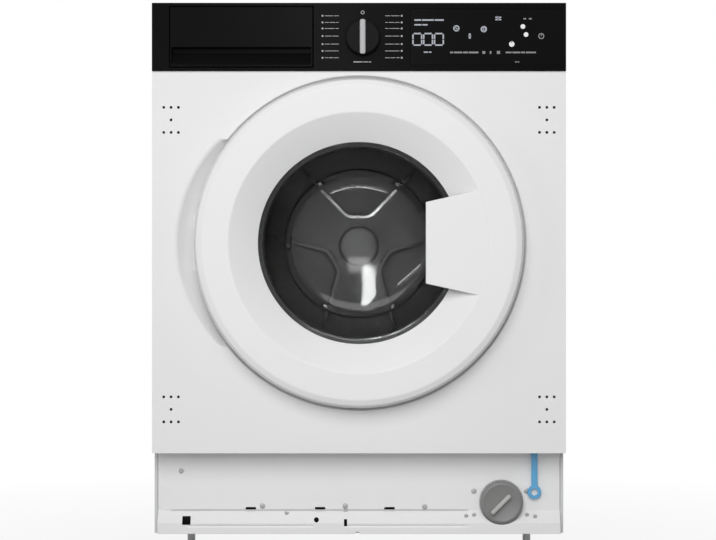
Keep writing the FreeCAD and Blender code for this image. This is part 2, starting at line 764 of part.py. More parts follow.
def knob():
    """A round programme knob with a bright grip bar and its spindle."""
    middle = ("knob_x", KNOB_Z)
    face = minus(FASCIA, "knob_height")
    rim = plus(face, "knob_edge")
    seat = minus(FASCIA, "side_clearance")
    profile = [
        ("0", "-(%s)" % seat), ("knob_radius", "-(%s)" % seat), ("knob_radius", "-(%s)" % rim),
        ("knob_radius - knob_edge", "-(%s)" % face), ("0", "-(%s)" % face),
    ]
    node(turned("program_knob", profile, ("knob_x", "0", KNOB_Z), "front"), "program_knob")
    bar = box("knob_grip_bar", ("knob_x - grip_bar_width / 2", "knob_x + grip_bar_width / 2"),
              (minus(face, "grip_bar_height"), face),
              (minus(KNOB_Z, "knob_radius"), plus(KNOB_Z, "knob_radius")))
    node(bar, "knob_grip_bar")
    node(rod("knob_spindle", "knob_shaft_radius", middle, (seat, plus(BOARD_FACE, "board_thickness")), "y"),
         "knob_spindle")


def control_board():
    """The circuit board on posts behind the fascia, with a bushing round the knob's spindle."""
    left = "knob_x - knob_radius"
    right = "display_right - display_margin"
    low = plus(DISPLAY_LOW, "display_margin")
    high = minus(DISPLAY_HIGH, "display_margin")
    depth = (BOARD_FACE, plus(BOARD_FACE, "board_thickness"))
    plate = box("board_plate", (left, right), depth, (low, high))
    posts = []
    for x in (plus(left, "2 * board_post_radius"), minus(right, "2 * board_post_radius")):
        for z in (plus(low, "2 * board_post_radius"), minus(high, "2 * board_post_radius")):
            posts.append(rod("board_post", "board_post_radius", (x, z),
                             (plus(FASCIA, "fascia_wall"), BOARD_FACE), "y"))
    bore = rod("board_bore", "knob_shaft_radius + shaft_clearance", ("knob_x", KNOB_Z),
               (minus(BOARD_FACE, "sheet"), plus(BOARD_FACE, "board_thickness + sheet")), "y")
    node(cut("control_board", fuse("board_posted", plate, *posts), bore), "control_board")


fascia()
drawer_front()
drawer_tray()
siphon_insert()
dispenser_housing()
knob()
node(box("display_window", ("display_left", "display_right"), (FASCIA, plus(FASCIA, "display_thickness")),
         (DISPLAY_LOW, DISPLAY_HIGH)), "display_window")
control_board()


# Door
GLASS_FRONT = plus(FRONT, "dish_depth")
GLASS_BACK = plus(GLASS_FRONT, "glass_thickness")
GLASS_END = plus(GLASS_FRONT, "glass_depth")
DOOR_BACK = minus(FLOOR, "door_back_gap")
DOOR_INNER = minus(DOOR_BACK, "door_wall")
SKIRT_END = minus(PANEL, "2 * sheet")
HINGE_X = "(-hinge_shift)"
HINGE_Y = minus(PANEL, "hinge_out")
HINGE_ZONE = "(hinge_arm_half + side_clearance + hinge_ear + 2 * hinge_plate)"
HOOK_Y = minus(DOOR_INNER, "hook_ear + hook_pin_radius")
ON_AXIS = ("0", "0", AXIS)


def around_axis(half):
    """A span of heights centred on the drum's axis."""
    return (minus(AXIS, half), plus(AXIS, half))


def door_ring():
    """The white outer ring: flat rim, dish down to the window and outer skirt, and its pull handle."""
    rim = "door_radius"
    profile = [
        (rim, SKIRT_END), (rim, plus(FRONT, "door_edge")), (minus(rim, "door_edge"), FRONT),
        ("door_flat_radius", FRONT), ("window_radius", GLASS_FRONT),
        ("window_radius + glass_flange", GLASS_FRONT),
        ("door_flat_radius + door_wall", plus(FRONT, "door_wall")),
        (minus(rim, "door_edge"), plus(FRONT, "door_wall")),
        (minus(rim, "door_wall"), plus(FRONT, "door_edge")), (minus(rim, "door_wall"), SKIRT_END),
    ]
    shell = turned("door_shell", profile, ON_AXIS, "y")
    root = "door_flat_radius + 2 * handle_plate"
    plate_outline = [
        ("handle_inner", minus(AXIS, "handle_half")), (root, minus(AXIS, "handle_flare")),
        (root, plus(AXIS, "handle_flare")), ("handle_inner", plus(AXIS, "handle_half")),
    ]
    plate = prism("handle_blade", plate_outline, (FRONT, plus(FRONT, "handle_plate")), "y")
    lip = box("handle_lip", ("handle_inner", "handle_inner + handle_plate"),
              (FRONT, plus(FRONT, "2 * handle_plate")), around_axis("handle_half"))
    notch = box("hinge_notch", (minus(HINGE_X, "hinge_shift"), plus(HINGE_X, "door_edge")),
                (minus(HINGE_Y, "1.5 * hinge_knuckle_radius"), PANEL), around_axis(HINGE_ZONE))
    node(cut("door_ring", shell, notch), "door_ring")
    reach = rod("handle_reach_disc", "door_flat_radius", ("0", AXIS), (FRONT, GLASS_FRONT), "y")
    blade = common("handle_trimmed", fuse("handle_solid", plate, lip), reach)
    node(cut("door_handle", blade, shell), "door_handle")


def door_back_ring():
    """The inner ring that clamps the glass, with a slot for the hinge arm and ears for the hook."""
    inner = "(window_radius + glass_thickness)"
    clamp = "(window_radius + glass_flange)"
    outer = "door_back_radius"
    thin = minus(outer, "door_wall")
    profile = [
        (inner, GLASS_BACK), (clamp, GLASS_BACK), (clamp, DOOR_INNER), (thin, DOOR_INNER),
        (thin, plus(FRONT, "door_wall")), (outer, plus(FRONT, "door_wall")), (outer, DOOR_BACK),
        (inner, DOOR_BACK),
    ]
    ring = turned("back_ring_shell", profile, ON_AXIS, "y")
    ear_x = ("hook_x - hook_thickness", "hook_x + hook_thickness")
    ear_y = (minus(HOOK_Y, "hook_ear"), DOOR_INNER)
    near = "(hook_width / 2 + side_clearance)"
    ears = [box("hook_ear_top", ear_x, ear_y, (plus(AXIS, near), plus(AXIS, near + " + hook_ear"))),
            box("hook_ear_low", ear_x, ear_y, (minus(AXIS, near + " + hook_ear"), minus(AXIS, near)))]
    room = "hinge_plate + side_clearance"
    arm_slot = box("arm_slot", (minus(HINGE_X, "sheet"), plus(HINGE_X, "2 * door_edge")),
                   (minus(HINGE_Y, room), plus(HINGE_Y, room)),
                   around_axis("hinge_arm_half + side_clearance"))
    hook_slot = box("hook_slot", ear_x, (minus(DOOR_INNER, "sheet"), plus(DOOR_BACK, "sheet")),
                    around_axis(near))
    pin_bore = rod("hook_bore", "hook_pin_radius + shaft_clearance", ("hook_x", HOOK_Y),
                   around_axis("hook_width + hook_ear"), "z")
    node(cut("door_back_ring", fuse("back_ring_eared", ring, *ears), arm_slot, hook_slot, pin_bore),
         "door_back_ring")


def door_glass():
    """The glass bowl with its clamped flange."""
    depth = "glass_thickness"
    end = "glass_end_radius"
    turn = "3 * glass_thickness"
    profile = [
        ("0", GLASS_END), (minus(end, turn), GLASS_END), (end, minus(GLASS_END, turn)),
        ("window_radius - glass_thickness", GLASS_BACK), ("window_radius + glass_flange", GLASS_BACK),
        ("window_radius + glass_flange", GLASS_FRONT),
        ("window_radius - 2 * glass_thickness", GLASS_FRONT),
        (minus(end, depth), minus(GLASS_END, turn + " + glass_thickness / 2")),
        (minus(end, turn + " + glass_thickness / 2"), minus(GLASS_END, depth)),
        ("0", minus(GLASS_END, depth)),
    ]
    node(turned("door_glass", profile, ON_AXIS, "y"), "door_glass")


def door_hinge():
    """A two-eared bracket on the recess floor with its riveted pin, and the arm that carries the door."""
    pivot = (HINGE_X, HINGE_Y)
    near = "(hinge_arm_half + side_clearance)"
    far = "(hinge_arm_half + side_clearance + hinge_ear)"
    back = minus(FLOOR, "hinge_plate")
    width = "2 * hinge_knuckle_radius"
    pieces = [box("bracket_plate", (minus(HINGE_X, width), plus(HINGE_X, width)), (back, FLOOR),
                  around_axis(far))]
    for low, high in ((minus(AXIS, far), minus(AXIS, near)), (plus(AXIS, near), plus(AXIS, far))):
        pieces.append(rod("bracket_ear", "hinge_knuckle_radius", pivot, (low, high), "z"))
        pieces.append(box("bracket_web", (HINGE_X, plus(HINGE_X, "hinge_knuckle_radius")), (HINGE_Y, back),
                          (low, high)))
    pieces.append(rod("bracket_pin", "hinge_pin_radius", pivot, around_axis(far), "z"))
    node(fuse("hinge_bracket", *pieces), "hinge_bracket")
    knuckle = rod("arm_knuckle", "hinge_knuckle_radius", pivot, around_axis("hinge_arm_half"), "z")
    strip = box("arm_strip", (HINGE_X, plus(HINGE_X, "hinge_arm_reach")),
                (minus(HINGE_Y, "hinge_plate"), plus(HINGE_Y, "hinge_plate")),
                around_axis("hinge_arm_half"))
    foot_block = box("arm_foot", (plus(HINGE_X, "2 * door_edge"), plus(HINGE_X, "hinge_arm_reach")),
                     (HINGE_Y, DOOR_INNER), around_axis("hinge_arm_half"))
    arm_bore = rod("arm_bore", "hinge_pin_radius + shaft_clearance", pivot, around_axis(far), "z")
    node(cut("hinge_arm", fuse("arm_solid", knuckle, strip, foot_block), arm_bore), "hinge_arm")


def door_hook():
    """The sprung hook with its pivot pin, and the lock that it reaches into."""
    half = "hook_thickness / 2"
    tip = plus(DOOR_BACK, "hook_length")
    shank = box("hook_shank", (minus("hook_x", half), plus("hook_x", half)),
                (minus(HOOK_Y, "hook_ear"), tip), around_axis("hook_width / 2"))
    barb = box("hook_barb", (minus("hook_x", "hook_thickness"), "hook_x"),
               (minus(tip, half), tip), around_axis("hook_width / 2"))
    pin = rod("hook_pin", "hook_pin_radius", ("hook_x", HOOK_Y),
              around_axis("hook_width / 2 + side_clearance + hook_ear"), "z")
    node(fuse("door_hook", shank, barb, pin), "door_hook")
    face = plus(FLOOR, "sheet")
    case = box("lock_case", ("hook_x - lock_width / 2", "hook_x + lock_width / 2"),
               (face, plus(face, "lock_depth")), around_axis("lock_height / 2"))
    throat = box("lock_throat", ("hook_x - hook_width", "hook_x + hook_width"),
                 (minus(face, "sheet"), plus(face, "lock_depth - door_wall")), around_axis("hook_width"))
    node(cut("door_lock", case, throat), "door_lock")


def release_strap():
    """The blue pull strap that frees the door, hanging through the front panel's ledge."""
    span = (STRAP_FRONT, plus(STRAP_FRONT, "strap_thickness"))
    ring_z = minus("plinth_top", "strap_drop")
    blade = box("strap_blade", ("strap_x - strap_width / 2", "strap_x + strap_width / 2"), span,
                (ring_z, plus("plinth_top", "strap_drop / 2")))
    ring = rod("strap_ring", "strap_ring_radius", ("strap_x", ring_z), span, "y")
    hole = rod("strap_hole", "strap_ring_hole", ("strap_x", ring_z), span, "y")
    node(cut("release_strap", fuse("strap_solid", blade, ring), hole), "release_strap")


door_ring()
door_back_ring()
door_glass()
door_hinge()
door_hook()
release_strap()


# Tub, gasket and weights
TUB_FRONT = plus(PANEL, "tub_front")
TUB_BACK = plus(TUB_FRONT, "tub_length")
TUB_OUT = "tub_outer"
TUB_SEAM = plus(TUB_FRONT, "tub_joint")
HUB_END = plus(TUB_BACK, "bearing_hub_length")
HUB_START = minus(TUB_BACK, "tub_wall")
LIP_OUT = "(tub_mouth + tub_wall)"
SLEEVE_OUT = "(tub_mouth + tub_wall + gasket_wall)"
LUG_Z = plus(AXIS, "lug_rise")
TRAY_TOP = "(base_height + tray_base_wall)"


def tub_space(name):
    """What a piece that sits against the tub is cut back from."""
    return rod(name, TUB_OUT + " + running_gap", ("0", AXIS), (TUB_FRONT, TUB_BACK), "y")


def tub_front():
    flange = TUB_OUT + " + tub_flange"
    profile = [
        ("tub_mouth", minus(TUB_FRONT, "tub_lip")), (LIP_OUT, minus(TUB_FRONT, "tub_lip")),
        (LIP_OUT, TUB_FRONT), (TUB_OUT, TUB_FRONT), (TUB_OUT, minus(TUB_SEAM, "tub_flange")),
        (flange, minus(TUB_SEAM, "tub_flange")), (flange, TUB_SEAM), ("tub_inner_radius", TUB_SEAM),
        ("tub_inner_radius", plus(TUB_FRONT, "tub_wall")), ("tub_mouth", plus(TUB_FRONT, "tub_wall")),
    ]
    node(turned("tub_front", profile, ON_AXIS, "y"), "tub_front")


def tub_rear():
    """The rear half with its bearing hub and the two lugs that the springs hold."""
    flange = TUB_OUT + " + tub_flange"
    profile = [
        ("tub_inner_radius", TUB_SEAM), (flange, TUB_SEAM), (flange, plus(TUB_SEAM, "tub_flange")),
        (TUB_OUT, plus(TUB_SEAM, "tub_flange")), (TUB_OUT, TUB_BACK), ("bearing_hub_radius", TUB_BACK),
        ("bearing_hub_radius", HUB_END), ("bearing_outer_radius", HUB_END),
        ("bearing_outer_radius", HUB_START), ("tub_inner_radius", HUB_START),
    ]
    shell = turned("tub_rear_shell", profile, ON_AXIS, "y")
    reach = "spring_x + spring_radius"
    lugs = box("tub_lugs", ("-(%s)" % reach, reach),
               ("spring_y - spring_radius", "spring_y + spring_radius"), (LUG_Z, plus(LUG_Z, "lug_height")))
    inside = rod("tub_inside", "tub_inner_radius + tub_wall / 2", ("0", AXIS), (TUB_SEAM, TUB_BACK), "y")
    node(fuse("tub_rear", shell, cut("tub_lug_ends", lugs, inside)), "tub_rear")


def gasket():
    """The rubber bellows from the panel's collar to the tub's lip, and the band that holds it there."""
    seat = "(mouth_radius + sheet)"
    start = plus(FLOOR, "sheet")
    fold = plus(FLOOR, "mouth_collar")
    profile = [
        (seat, start), (plus(seat, "gasket_wall"), start), (plus(seat, "gasket_wall"), fold),
        (SLEEVE_OUT, fold), (SLEEVE_OUT, TUB_FRONT), (LIP_OUT, TUB_FRONT),
        (LIP_OUT, plus(fold, "gasket_wall")),
        ("gasket_lip", plus(fold, "gasket_wall")), ("gasket_lip", fold), (seat, fold),
    ]
    node(turned("door_gasket", profile, ON_AXIS, "y"), "door_gasket")
    band = (minus(TUB_FRONT, "3 * clamp_wire"), minus(TUB_FRONT, "clamp_wire"))
    node(tube("gasket_clamp", SLEEVE_OUT + " + clamp_wire", SLEEVE_OUT, ("0", AXIS), band, "y"),
         "gasket_clamp")


def counterweights():
    """Cast blocks: one on top of the tub, and two ring pieces on its front."""
    top = box("weight_block", ("-weight_width / 2", "weight_width / 2"),
              (plus(TUB_SEAM, "weight_start"), plus(TUB_SEAM, "weight_start + weight_depth")),
              (AXIS, plus(AXIS, TUB_OUT + " + weight_top")))
    node(cut("counterweight_top", top, tub_space("weight_seat")), "counterweight_top")
    span = (minus(TUB_FRONT, "front_weight_depth"), TUB_FRONT)
    halves = []
    for low, high in ((plus(AXIS, "weight_chord"), plus(AXIS, TUB_OUT)),
                      (minus(AXIS, TUB_OUT), minus(AXIS, "weight_chord"))):
        ring = tube("weight_ring", TUB_OUT, SLEEVE_OUT + " + 2 * clamp_wire", ("0", AXIS), span, "y")
        band = box("weight_band", ("-" + TUB_OUT, TUB_OUT), span, (low, high))
        halves.append(common("weight_half", ring, band))
    node(fuse("counterweight_front", *halves), "counterweight_front")


def suspension():
    """A spring above and a friction damper below on each side of the tub."""
    springs = []
    cylinders = []
    rods = []
    for sign in (-1, 1):
        hung = (plus(LUG_Z, "lug_height"), SPRING_TOP)
        springs.append(tube("spring", "spring_radius", "spring_radius - spring_wire",
                            ("%d * spring_x" % sign, "spring_y"), hung, "z"))
        middle = ("%d * damper_x" % sign, "damper_y")
        barrel = rod("damper_barrel", "damper_radius", middle,
                     (TRAY_TOP, plus(TRAY_TOP, "damper_length")), "z")
        bore = rod("damper_bore", "damper_rod_radius + running_gap", middle,
                   (plus(TRAY_TOP, "damper_radius"), plus(TRAY_TOP, "damper_length + sheet")), "z")
        cylinders.append(cut("damper_tube", barrel, bore))
        shank = rod("damper_shank", "damper_rod_radius", middle,
                    (plus(TRAY_TOP, "damper_length / 2"), AXIS), "z")
        rods.append(cut("damper_end", shank, tub_space("damper_seat")))
    node(fuse("suspension_springs", *springs), "suspension_springs")
    node(fuse("damper_cylinders", *cylinders), "damper_cylinders")
    node(fuse("damper_rods", *rods), "damper_rods")


def heater():
    """A heating loop lying in the gap below the drum, fixed in the tub's front wall."""
    orbit = "((drum_radius + tub_inner_radius) / 2)"
    z = "(%s - sqrt(%s ^ 2 - (heater_span / 2) ^ 2))" % (AXIS, orbit)
    start = plus(TUB_FRONT, "tub_wall")
    end = plus(start, "heater_length")
    legs = [rod("heater_leg", "heater_radius", ("%d * heater_span / 2" % sign, z), (start, end), "y")
            for sign in (-1, 1)]
    bridge = rod("heater_bridge", "heater_radius", (end, z), ("-heater_span / 2", "heater_span / 2"), "x")
    caps = []
    for sign in (-1, 1):
        ball = doc.addObject("Part::Sphere", "heater_bend")
        bind(ball, "Radius", "heater_radius")
        caps.append(place(ball, ("%d * heater_span / 2" % sign, end, z)))
    node(fuse("heater", *legs, bridge, *caps), "heater")


tub_front()
tub_rear()
gasket()
counterweights()
suspension()
heater()


# Drum and belt drive
DRUM_FRONT = plus(TUB_FRONT, "tub_wall + drum_front_gap")
DRUM_BACK = plus(DRUM_FRONT, "drum_length")
SPIDER_FRONT = plus(DRUM_BACK, "drum_sheet")
SPIDER_BACK = plus(SPIDER_FRONT, "spider_thickness")
PULLEY_FRONT = plus(HUB_END, "pulley_offset")
PULLEY_BACK = plus(PULLEY_FRONT, "pulley_width")
MOTOR_Z = minus(AXIS, "motor_drop")
MOTOR_BACK = minus(PULLEY_FRONT, "pulley_offset")
DRUM_AXIS = ("0", AXIS)
MOTOR_AXIS = ("0", MOTOR_Z)
LIFTERS = 3
SPOKES = 5


def star(name, width, reach, count, span):
    """Equal straight arms about the drum's axis: one padded arm and a polar pattern of it."""
    body = doc.addObject("PartDesign::Body", name)
    half = "(%s) / 2" % width
    sketch = sketch_on(body, "XY_Plane", rectangle("-" + half, half, "0", reach))
    bind(sketch, "AttachmentOffset.Base.z", "-(%s)" % span[1])
    pad = body.newObject("PartDesign::Pad", name + "_pad")
    pad.Profile = sketch
    bind(pad, "Length", "(%s) - (%s)" % (span[1], span[0]))
    pattern = body.newObject("PartDesign::PolarPattern", name + "_pattern")
    pattern.Originals = [pad]
    pattern.Axis = (sketch, ["N_Axis"])
    pattern.Angle = 360
    pattern.Occurrences = count
    body.Tip = pattern
    return place(body, ON_AXIS, "front")


def drum():
    inner = "(drum_radius - drum_sheet)"
    wall = [
        ("drum_mouth", DRUM_FRONT), ("drum_radius", DRUM_FRONT), ("drum_radius", DRUM_BACK),
        (inner, DRUM_BACK), (inner, plus(DRUM_FRONT, "drum_sheet")),
        ("drum_mouth", plus(DRUM_FRONT, "drum_sheet")),
    ]
    node(turned("drum_shell", wall, ON_AXIS, "y"), "drum_shell")
    dish = minus(DRUM_BACK, "drum_hub_dish")
    back = [
        ("0", dish), ("dish_flat_radius", dish), ("dish_edge_radius", DRUM_BACK),
        ("drum_radius", DRUM_BACK), ("drum_radius", SPIDER_FRONT), ("dish_edge_radius", SPIDER_FRONT),
        ("dish_flat_radius", plus(dish, "drum_sheet")), ("0", plus(dish, "drum_sheet")),
    ]
    node(turned("drum_rear_wall", back, ON_AXIS, "y"), "drum_rear_wall")
    lifters = []
    span = (plus(DRUM_FRONT, "lifter_end_gap"), minus(DRUM_BACK, "running_gap"))
    crest = minus(inner, "lifter_height")
    section = [("-lifter_top / 2", crest), ("lifter_top / 2", crest), ("lifter_width / 2", "drum_radius"),
               ("-lifter_width / 2", "drum_radius")]
    for index in range(LIFTERS):
        blank = prism("lifter_blank", section, span, "y")
        bore = rod("lifter_bore", minus(inner, "running_gap"), ("0", "0"), span, "y")
        lifter = common("lifter", blank, bore)
        lifters.append(place(lifter, ON_AXIS, Rotation(Vector(0, 1, 0), index * 360 / LIFTERS)))
    node(fuse("drum_lifters", *lifters), "drum_lifters")
    arms = star("spider_arms", "spider_arm", minus("drum_radius", "2 * drum_sheet"), LIFTERS,
                (SPIDER_FRONT, SPIDER_BACK))
    hub = rod("spider_hub", "bearing_hub_radius", DRUM_AXIS, (SPIDER_FRONT, SPIDER_BACK), "y")
    node(fuse("drum_spider", arms, hub), "drum_spider")
    node(rod("drum_shaft", "shaft_radius", DRUM_AXIS, (SPIDER_BACK, PULLEY_BACK), "y"), "drum_shaft")


def bearings():
    """Two ball bearings in the tub's hub, with the water seal ahead of them."""
    bore = "shaft_radius + shaft_clearance"
    outer = "bearing_outer_radius - shaft_clearance"
    seal_end = plus(HUB_START, "seal_width")
    spans = [(seal_end, plus(seal_end, "bearing_width")), (minus(HUB_END, "bearing_width"), HUB_END)]
    node(fuse("drum_bearings", *[tube("bearing", outer, bore, DRUM_AXIS, span, "y") for span in spans]),
         "drum_bearings")
    node(tube("shaft_seal", outer, bore, DRUM_AXIS, (HUB_START, seal_end), "y"), "shaft_seal")


def belt_loop(name, grow, span):
    """The outline of a belt round both pulleys: two discs and the straight band between their tangents."""
    big = "(pulley_radius + %s)" % grow
    small = "(motor_pulley_radius + %s)" % grow
    fall = "((motor_pulley_radius - pulley_radius) / motor_drop)"
    lean = "sqrt(1 - %s ^ 2)" % fall
    upper = plus(AXIS, "%s * %s" % (big, fall))
    lower = plus(MOTOR_Z, "%s * %s" % (small, fall))
    band = [("-%s * %s" % (small, lean), lower), ("%s * %s" % (small, lean), lower),
            ("%s * %s" % (big, lean), upper), ("-%s * %s" % (big, lean), upper)]
    wheel = rod(name + "_big", big, DRUM_AXIS, span, "y")
    pinion = rod(name + "_small", small, MOTOR_AXIS, span, "y")
    return fuse(name, wheel, pinion, prism(name + "_band", band, span, "y"))


def belt_drive():
    rim = tube("pulley_rim_ring", "pulley_radius", "pulley_radius - pulley_rim", DRUM_AXIS,
               (PULLEY_FRONT, PULLEY_BACK), "y")
    hub = rod("pulley_boss", "pulley_hub", DRUM_AXIS, (PULLEY_FRONT, PULLEY_BACK), "y")
    margin = "pulley_width / 3"
    spokes = star("pulley_spokes", "pulley_spoke", minus("pulley_radius", "pulley_rim / 2"), SPOKES,
                  (plus(PULLEY_FRONT, margin), minus(PULLEY_BACK, margin)))
    bore = rod("pulley_bore", "shaft_radius + shaft_clearance", DRUM_AXIS, (PULLEY_FRONT, PULLEY_BACK), "y")
    node(cut("drum_pulley", fuse("pulley_wheel", rim, hub, spokes), bore), "drum_pulley")
    edge = "(pulley_width - belt_width) / 2"
    span = (plus(PULLEY_FRONT, edge), minus(PULLEY_BACK, edge))
    node(cut("drive_belt", belt_loop("belt_outer", "running_gap + belt_thickness", span),
             belt_loop("belt_inner", "running_gap", span)), "drive_belt")
    case = rod("motor_case", "motor_radius", MOTOR_AXIS,
               (minus(MOTOR_BACK, "motor_length"), MOTOR_BACK), "y")
    mount = box("motor_saddle", ("-motor_mount / 2", "motor_mount / 2"),
                (minus(MOTOR_BACK, "motor_length"), minus(TUB_BACK, "motor_mount")), (MOTOR_Z, AXIS))
    socket = rod("motor_socket", "motor_shaft_radius + shaft_clearance", MOTOR_AXIS,
                 (minus(MOTOR_BACK, "motor_shaft_depth"), MOTOR_BACK), "y")
    node(cut("motor", fuse("motor_solid", case, mount), tub_space("motor_seat"), socket), "motor")
    wheel = rod("motor_wheel", "motor_pulley_radius", MOTOR_AXIS, (PULLEY_FRONT, PULLEY_BACK), "y")
    shaft = rod("motor_shaft", "motor_shaft_radius", MOTOR_AXIS,
                (minus(MOTOR_BACK, "motor_shaft_depth - running_gap"), PULLEY_FRONT), "y")
    node(fuse("motor_pulley", wheel, shaft), "motor_pulley")


drum()
bearings()
belt_drive()


# Water: inlet, hoses, filter and pump
FILTER_AXIS = ("filter_x", "filter_height")
FILTER_FRONT = plus(PLINTH, "sheet")
FILTER_END = plus(FILTER_FRONT, "filter_length")
PUMP_END = plus(FILTER_END, "pump_length")
GROOVE = plus(FILTER_FRONT, "2 * filter_seal_width")
GROOVE_RADIUS = "(filter_bore - running_gap - filter_seal_depth)"


def filter_housing():
    """The filter's barrel with a flange behind the plinth."""
    barrel = rod("barrel", "filter_bore + filter_wall", FILTER_AXIS, (FILTER_FRONT, FILTER_END), "y")
    flange = rod("barrel_flange", "filter_cap_radius + flange_lap", FILTER_AXIS,
                 (FILTER_FRONT, plus(FILTER_FRONT, "filter_collar")), "y")
    bore = rod("barrel_bore", "filter_bore", FILTER_AXIS, (FILTER_FRONT, FILTER_END), "y")
    node(cut("filter_housing", fuse("barrel_solid", barrel, flange), bore), "filter_housing")


def filter_plug():
    """The turning filter: a round cap with a grip bar, a sealed neck and the plug behind it."""
    face = minus(PLINTH, "filter_cap_height")
    seat = minus(FILTER_FRONT, "side_clearance")
    neck = "(filter_bore - running_gap)"
    edge = "filter_collar"
    profile = [
        ("0", face), (minus("filter_cap_radius", edge), face), ("filter_cap_radius", plus(face, edge)),
        ("filter_cap_radius", seat), (neck, seat), (neck, GROOVE), (GROOVE_RADIUS, GROOVE),
        (GROOVE_RADIUS, plus(GROOVE, "filter_seal_width")), (neck, plus(GROOVE, "filter_seal_width")),
        (neck, minus(FILTER_END, "2 * filter_seal_width")),
        ("0", minus(FILTER_END, "2 * filter_seal_width")),
    ]
    body = turned("plug_body", profile, ("0", "0", "0"), "y")
    grip = box("plug_grip", ("-filter_grip_width / 2", "filter_grip_width / 2"),
               (minus(face, "filter_cap_height / 2"), face),
               ("2 * filter_collar - filter_cap_radius", "filter_cap_radius - 2 * filter_collar"))
    plug = place(fuse("filter_plug", body, grip), ("filter_x", "0", "filter_height"),
                 Rotation(Vector(0, 1, 0), 45))
    node(plug, "filter_plug")
    span = (plus(GROOVE, "running_gap"), plus(GROOVE, "filter_seal_width - running_gap"))
    node(tube("filter_seal", "filter_bore - running_gap", GROOVE_RADIUS + " + running_gap", FILTER_AXIS,
              span, "y"), "filter_seal")


def drain_pump():
    case = rod("pump_case", "pump_radius", FILTER_AXIS, (FILTER_END, PUMP_END), "y")
    stand = box("pump_stand", ("filter_x - pump_radius / 2", "filter_x + pump_radius / 2"),
                (FILTER_END, PUMP_END), (TRAY_TOP, "filter_height"))
    node(fuse("drain_pump", case, stand), "drain_pump")


def water_hoses():
    """Hoses from dispenser to tub, tub to filter, valve to dispenser, and pump to rear."""
    def upright(name, x, y, low, high):
        return tube(name, "hose_radius", "hose_radius - hose_wall", (x, y), (low, high), "z")
    feed = cut("feed_hose", upright("feed_tube", HOSE_X, HOSE_Y, AXIS, HOUSING_LOW), tub_space("feed_seat"))
    barrel = rod("sump_end", "filter_bore + filter_wall + running_gap", FILTER_AXIS,
                 (FILTER_FRONT, FILTER_END), "y")
    halfway = "(%s + %s) / 2" % (FILTER_FRONT, FILTER_END)
    riser = upright("sump_tube", "filter_x - hose_radius", halfway, "filter_height", AXIS)
    sump = cut("sump_hose", riser, tub_space("sump_seat"), barrel)
    supply = tube("supply_hose", "inlet_bore + hose_wall", "inlet_bore", ("-inlet_x", "inlet_height"),
                  (HOUSING_END, minus(BACK_FACE, "valve_depth")), "y")
    outlet = ("filter_x + outlet_shift", "filter_height + outlet_rise")
    pipe = rod("drain_pipe", "outlet_radius", outlet, (PUMP_END, "overall_depth / 2"), "y")
    wide = "outlet_radius + flange_lap"
    collar = rod("drain_collar", wide, outlet, (minus(BACK_FACE, "flange_lap"), BACK_FACE), "y")
    flange = rod("drain_flange", wide, outlet, (REAR, plus(REAR, "stub_flange")), "y")
    bore = rod("drain_bore", "outlet_bore", outlet, (PUMP_END, "overall_depth / 2"), "y")
    drain = cut("drain_hose", fuse("drain_solid", pipe, collar, flange), bore)
    node(fuse("water_hoses", feed, sump, supply, drain), "water_hoses")


def rear_connections():
    """The water valve with its threaded stub, and the gland for the mains cord."""
    middle = ("-inlet_x", "inlet_height")
    case = box("valve_case", ("-inlet_x - valve_width / 2", "-inlet_x + valve_width / 2"),
               (minus(BACK_FACE, "valve_depth"), BACK_FACE),
               ("inlet_height - valve_height / 2", "inlet_height + valve_height / 2"))
    stub = rod("valve_stub", "inlet_radius", middle, (BACK_FACE, "overall_depth / 2"), "y")
    flange = rod("valve_flange", "inlet_radius + flange_lap", middle,
                 (REAR, plus(REAR, "stub_flange")), "y")
    bore = rod("valve_bore", "inlet_bore", middle,
               (minus(BACK_FACE, "valve_depth"), "overall_depth / 2"), "y")
    node(cut("inlet_valve", fuse("valve_solid", case, stub, flange), bore), "inlet_valve")
    start = minus(BACK_FACE, "flange_lap")
    profile = [
        ("gland_bore", start), ("gland_radius", start), ("gland_radius", REAR),
        ("gland_radius + flange_lap", REAR), ("gland_radius + flange_lap", plus(REAR, "flange_lap")),
        ("gland_bore", plus(REAR, "flange_lap")),
    ]
    node(turned("cord_gland", profile, ("gland_x", "0", "inlet_height"), "y"), "cord_gland")


filter_housing()
filter_plug()
drain_pump()
water_hoses()
rear_connections()

# Check every object and write one file for each sub-part.
doc.recompute()
failed = [item.Name for item in doc.Objects if "Invalid" in item.State or "Error" in item.State]
for item in NODES:
    if item.Shape.isNull() or not item.Shape.isValid():
        failed.append(item.Label)
if failed:
    raise RuntimeError("failed objects: " + ", ".join(failed))
os.makedirs("parts", exist_ok=True)
for item in NODES:
    item.Shape.exportStep("parts/%s.step" % item.Label)
    print("%-24s %d solids" % (item.Label, len(item.Shape.Solids)))
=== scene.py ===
# %% [markdown]
# This lesson dresses a built-in washing machine. The imported model gives every solid in metres, with the
# machine's front looking along -Y and the floor at Z = 0, so each new piece is made straight in its
# place. The box of each solid is read from its mesh where a new piece needs it.

# %% Load the machine
import json
import math

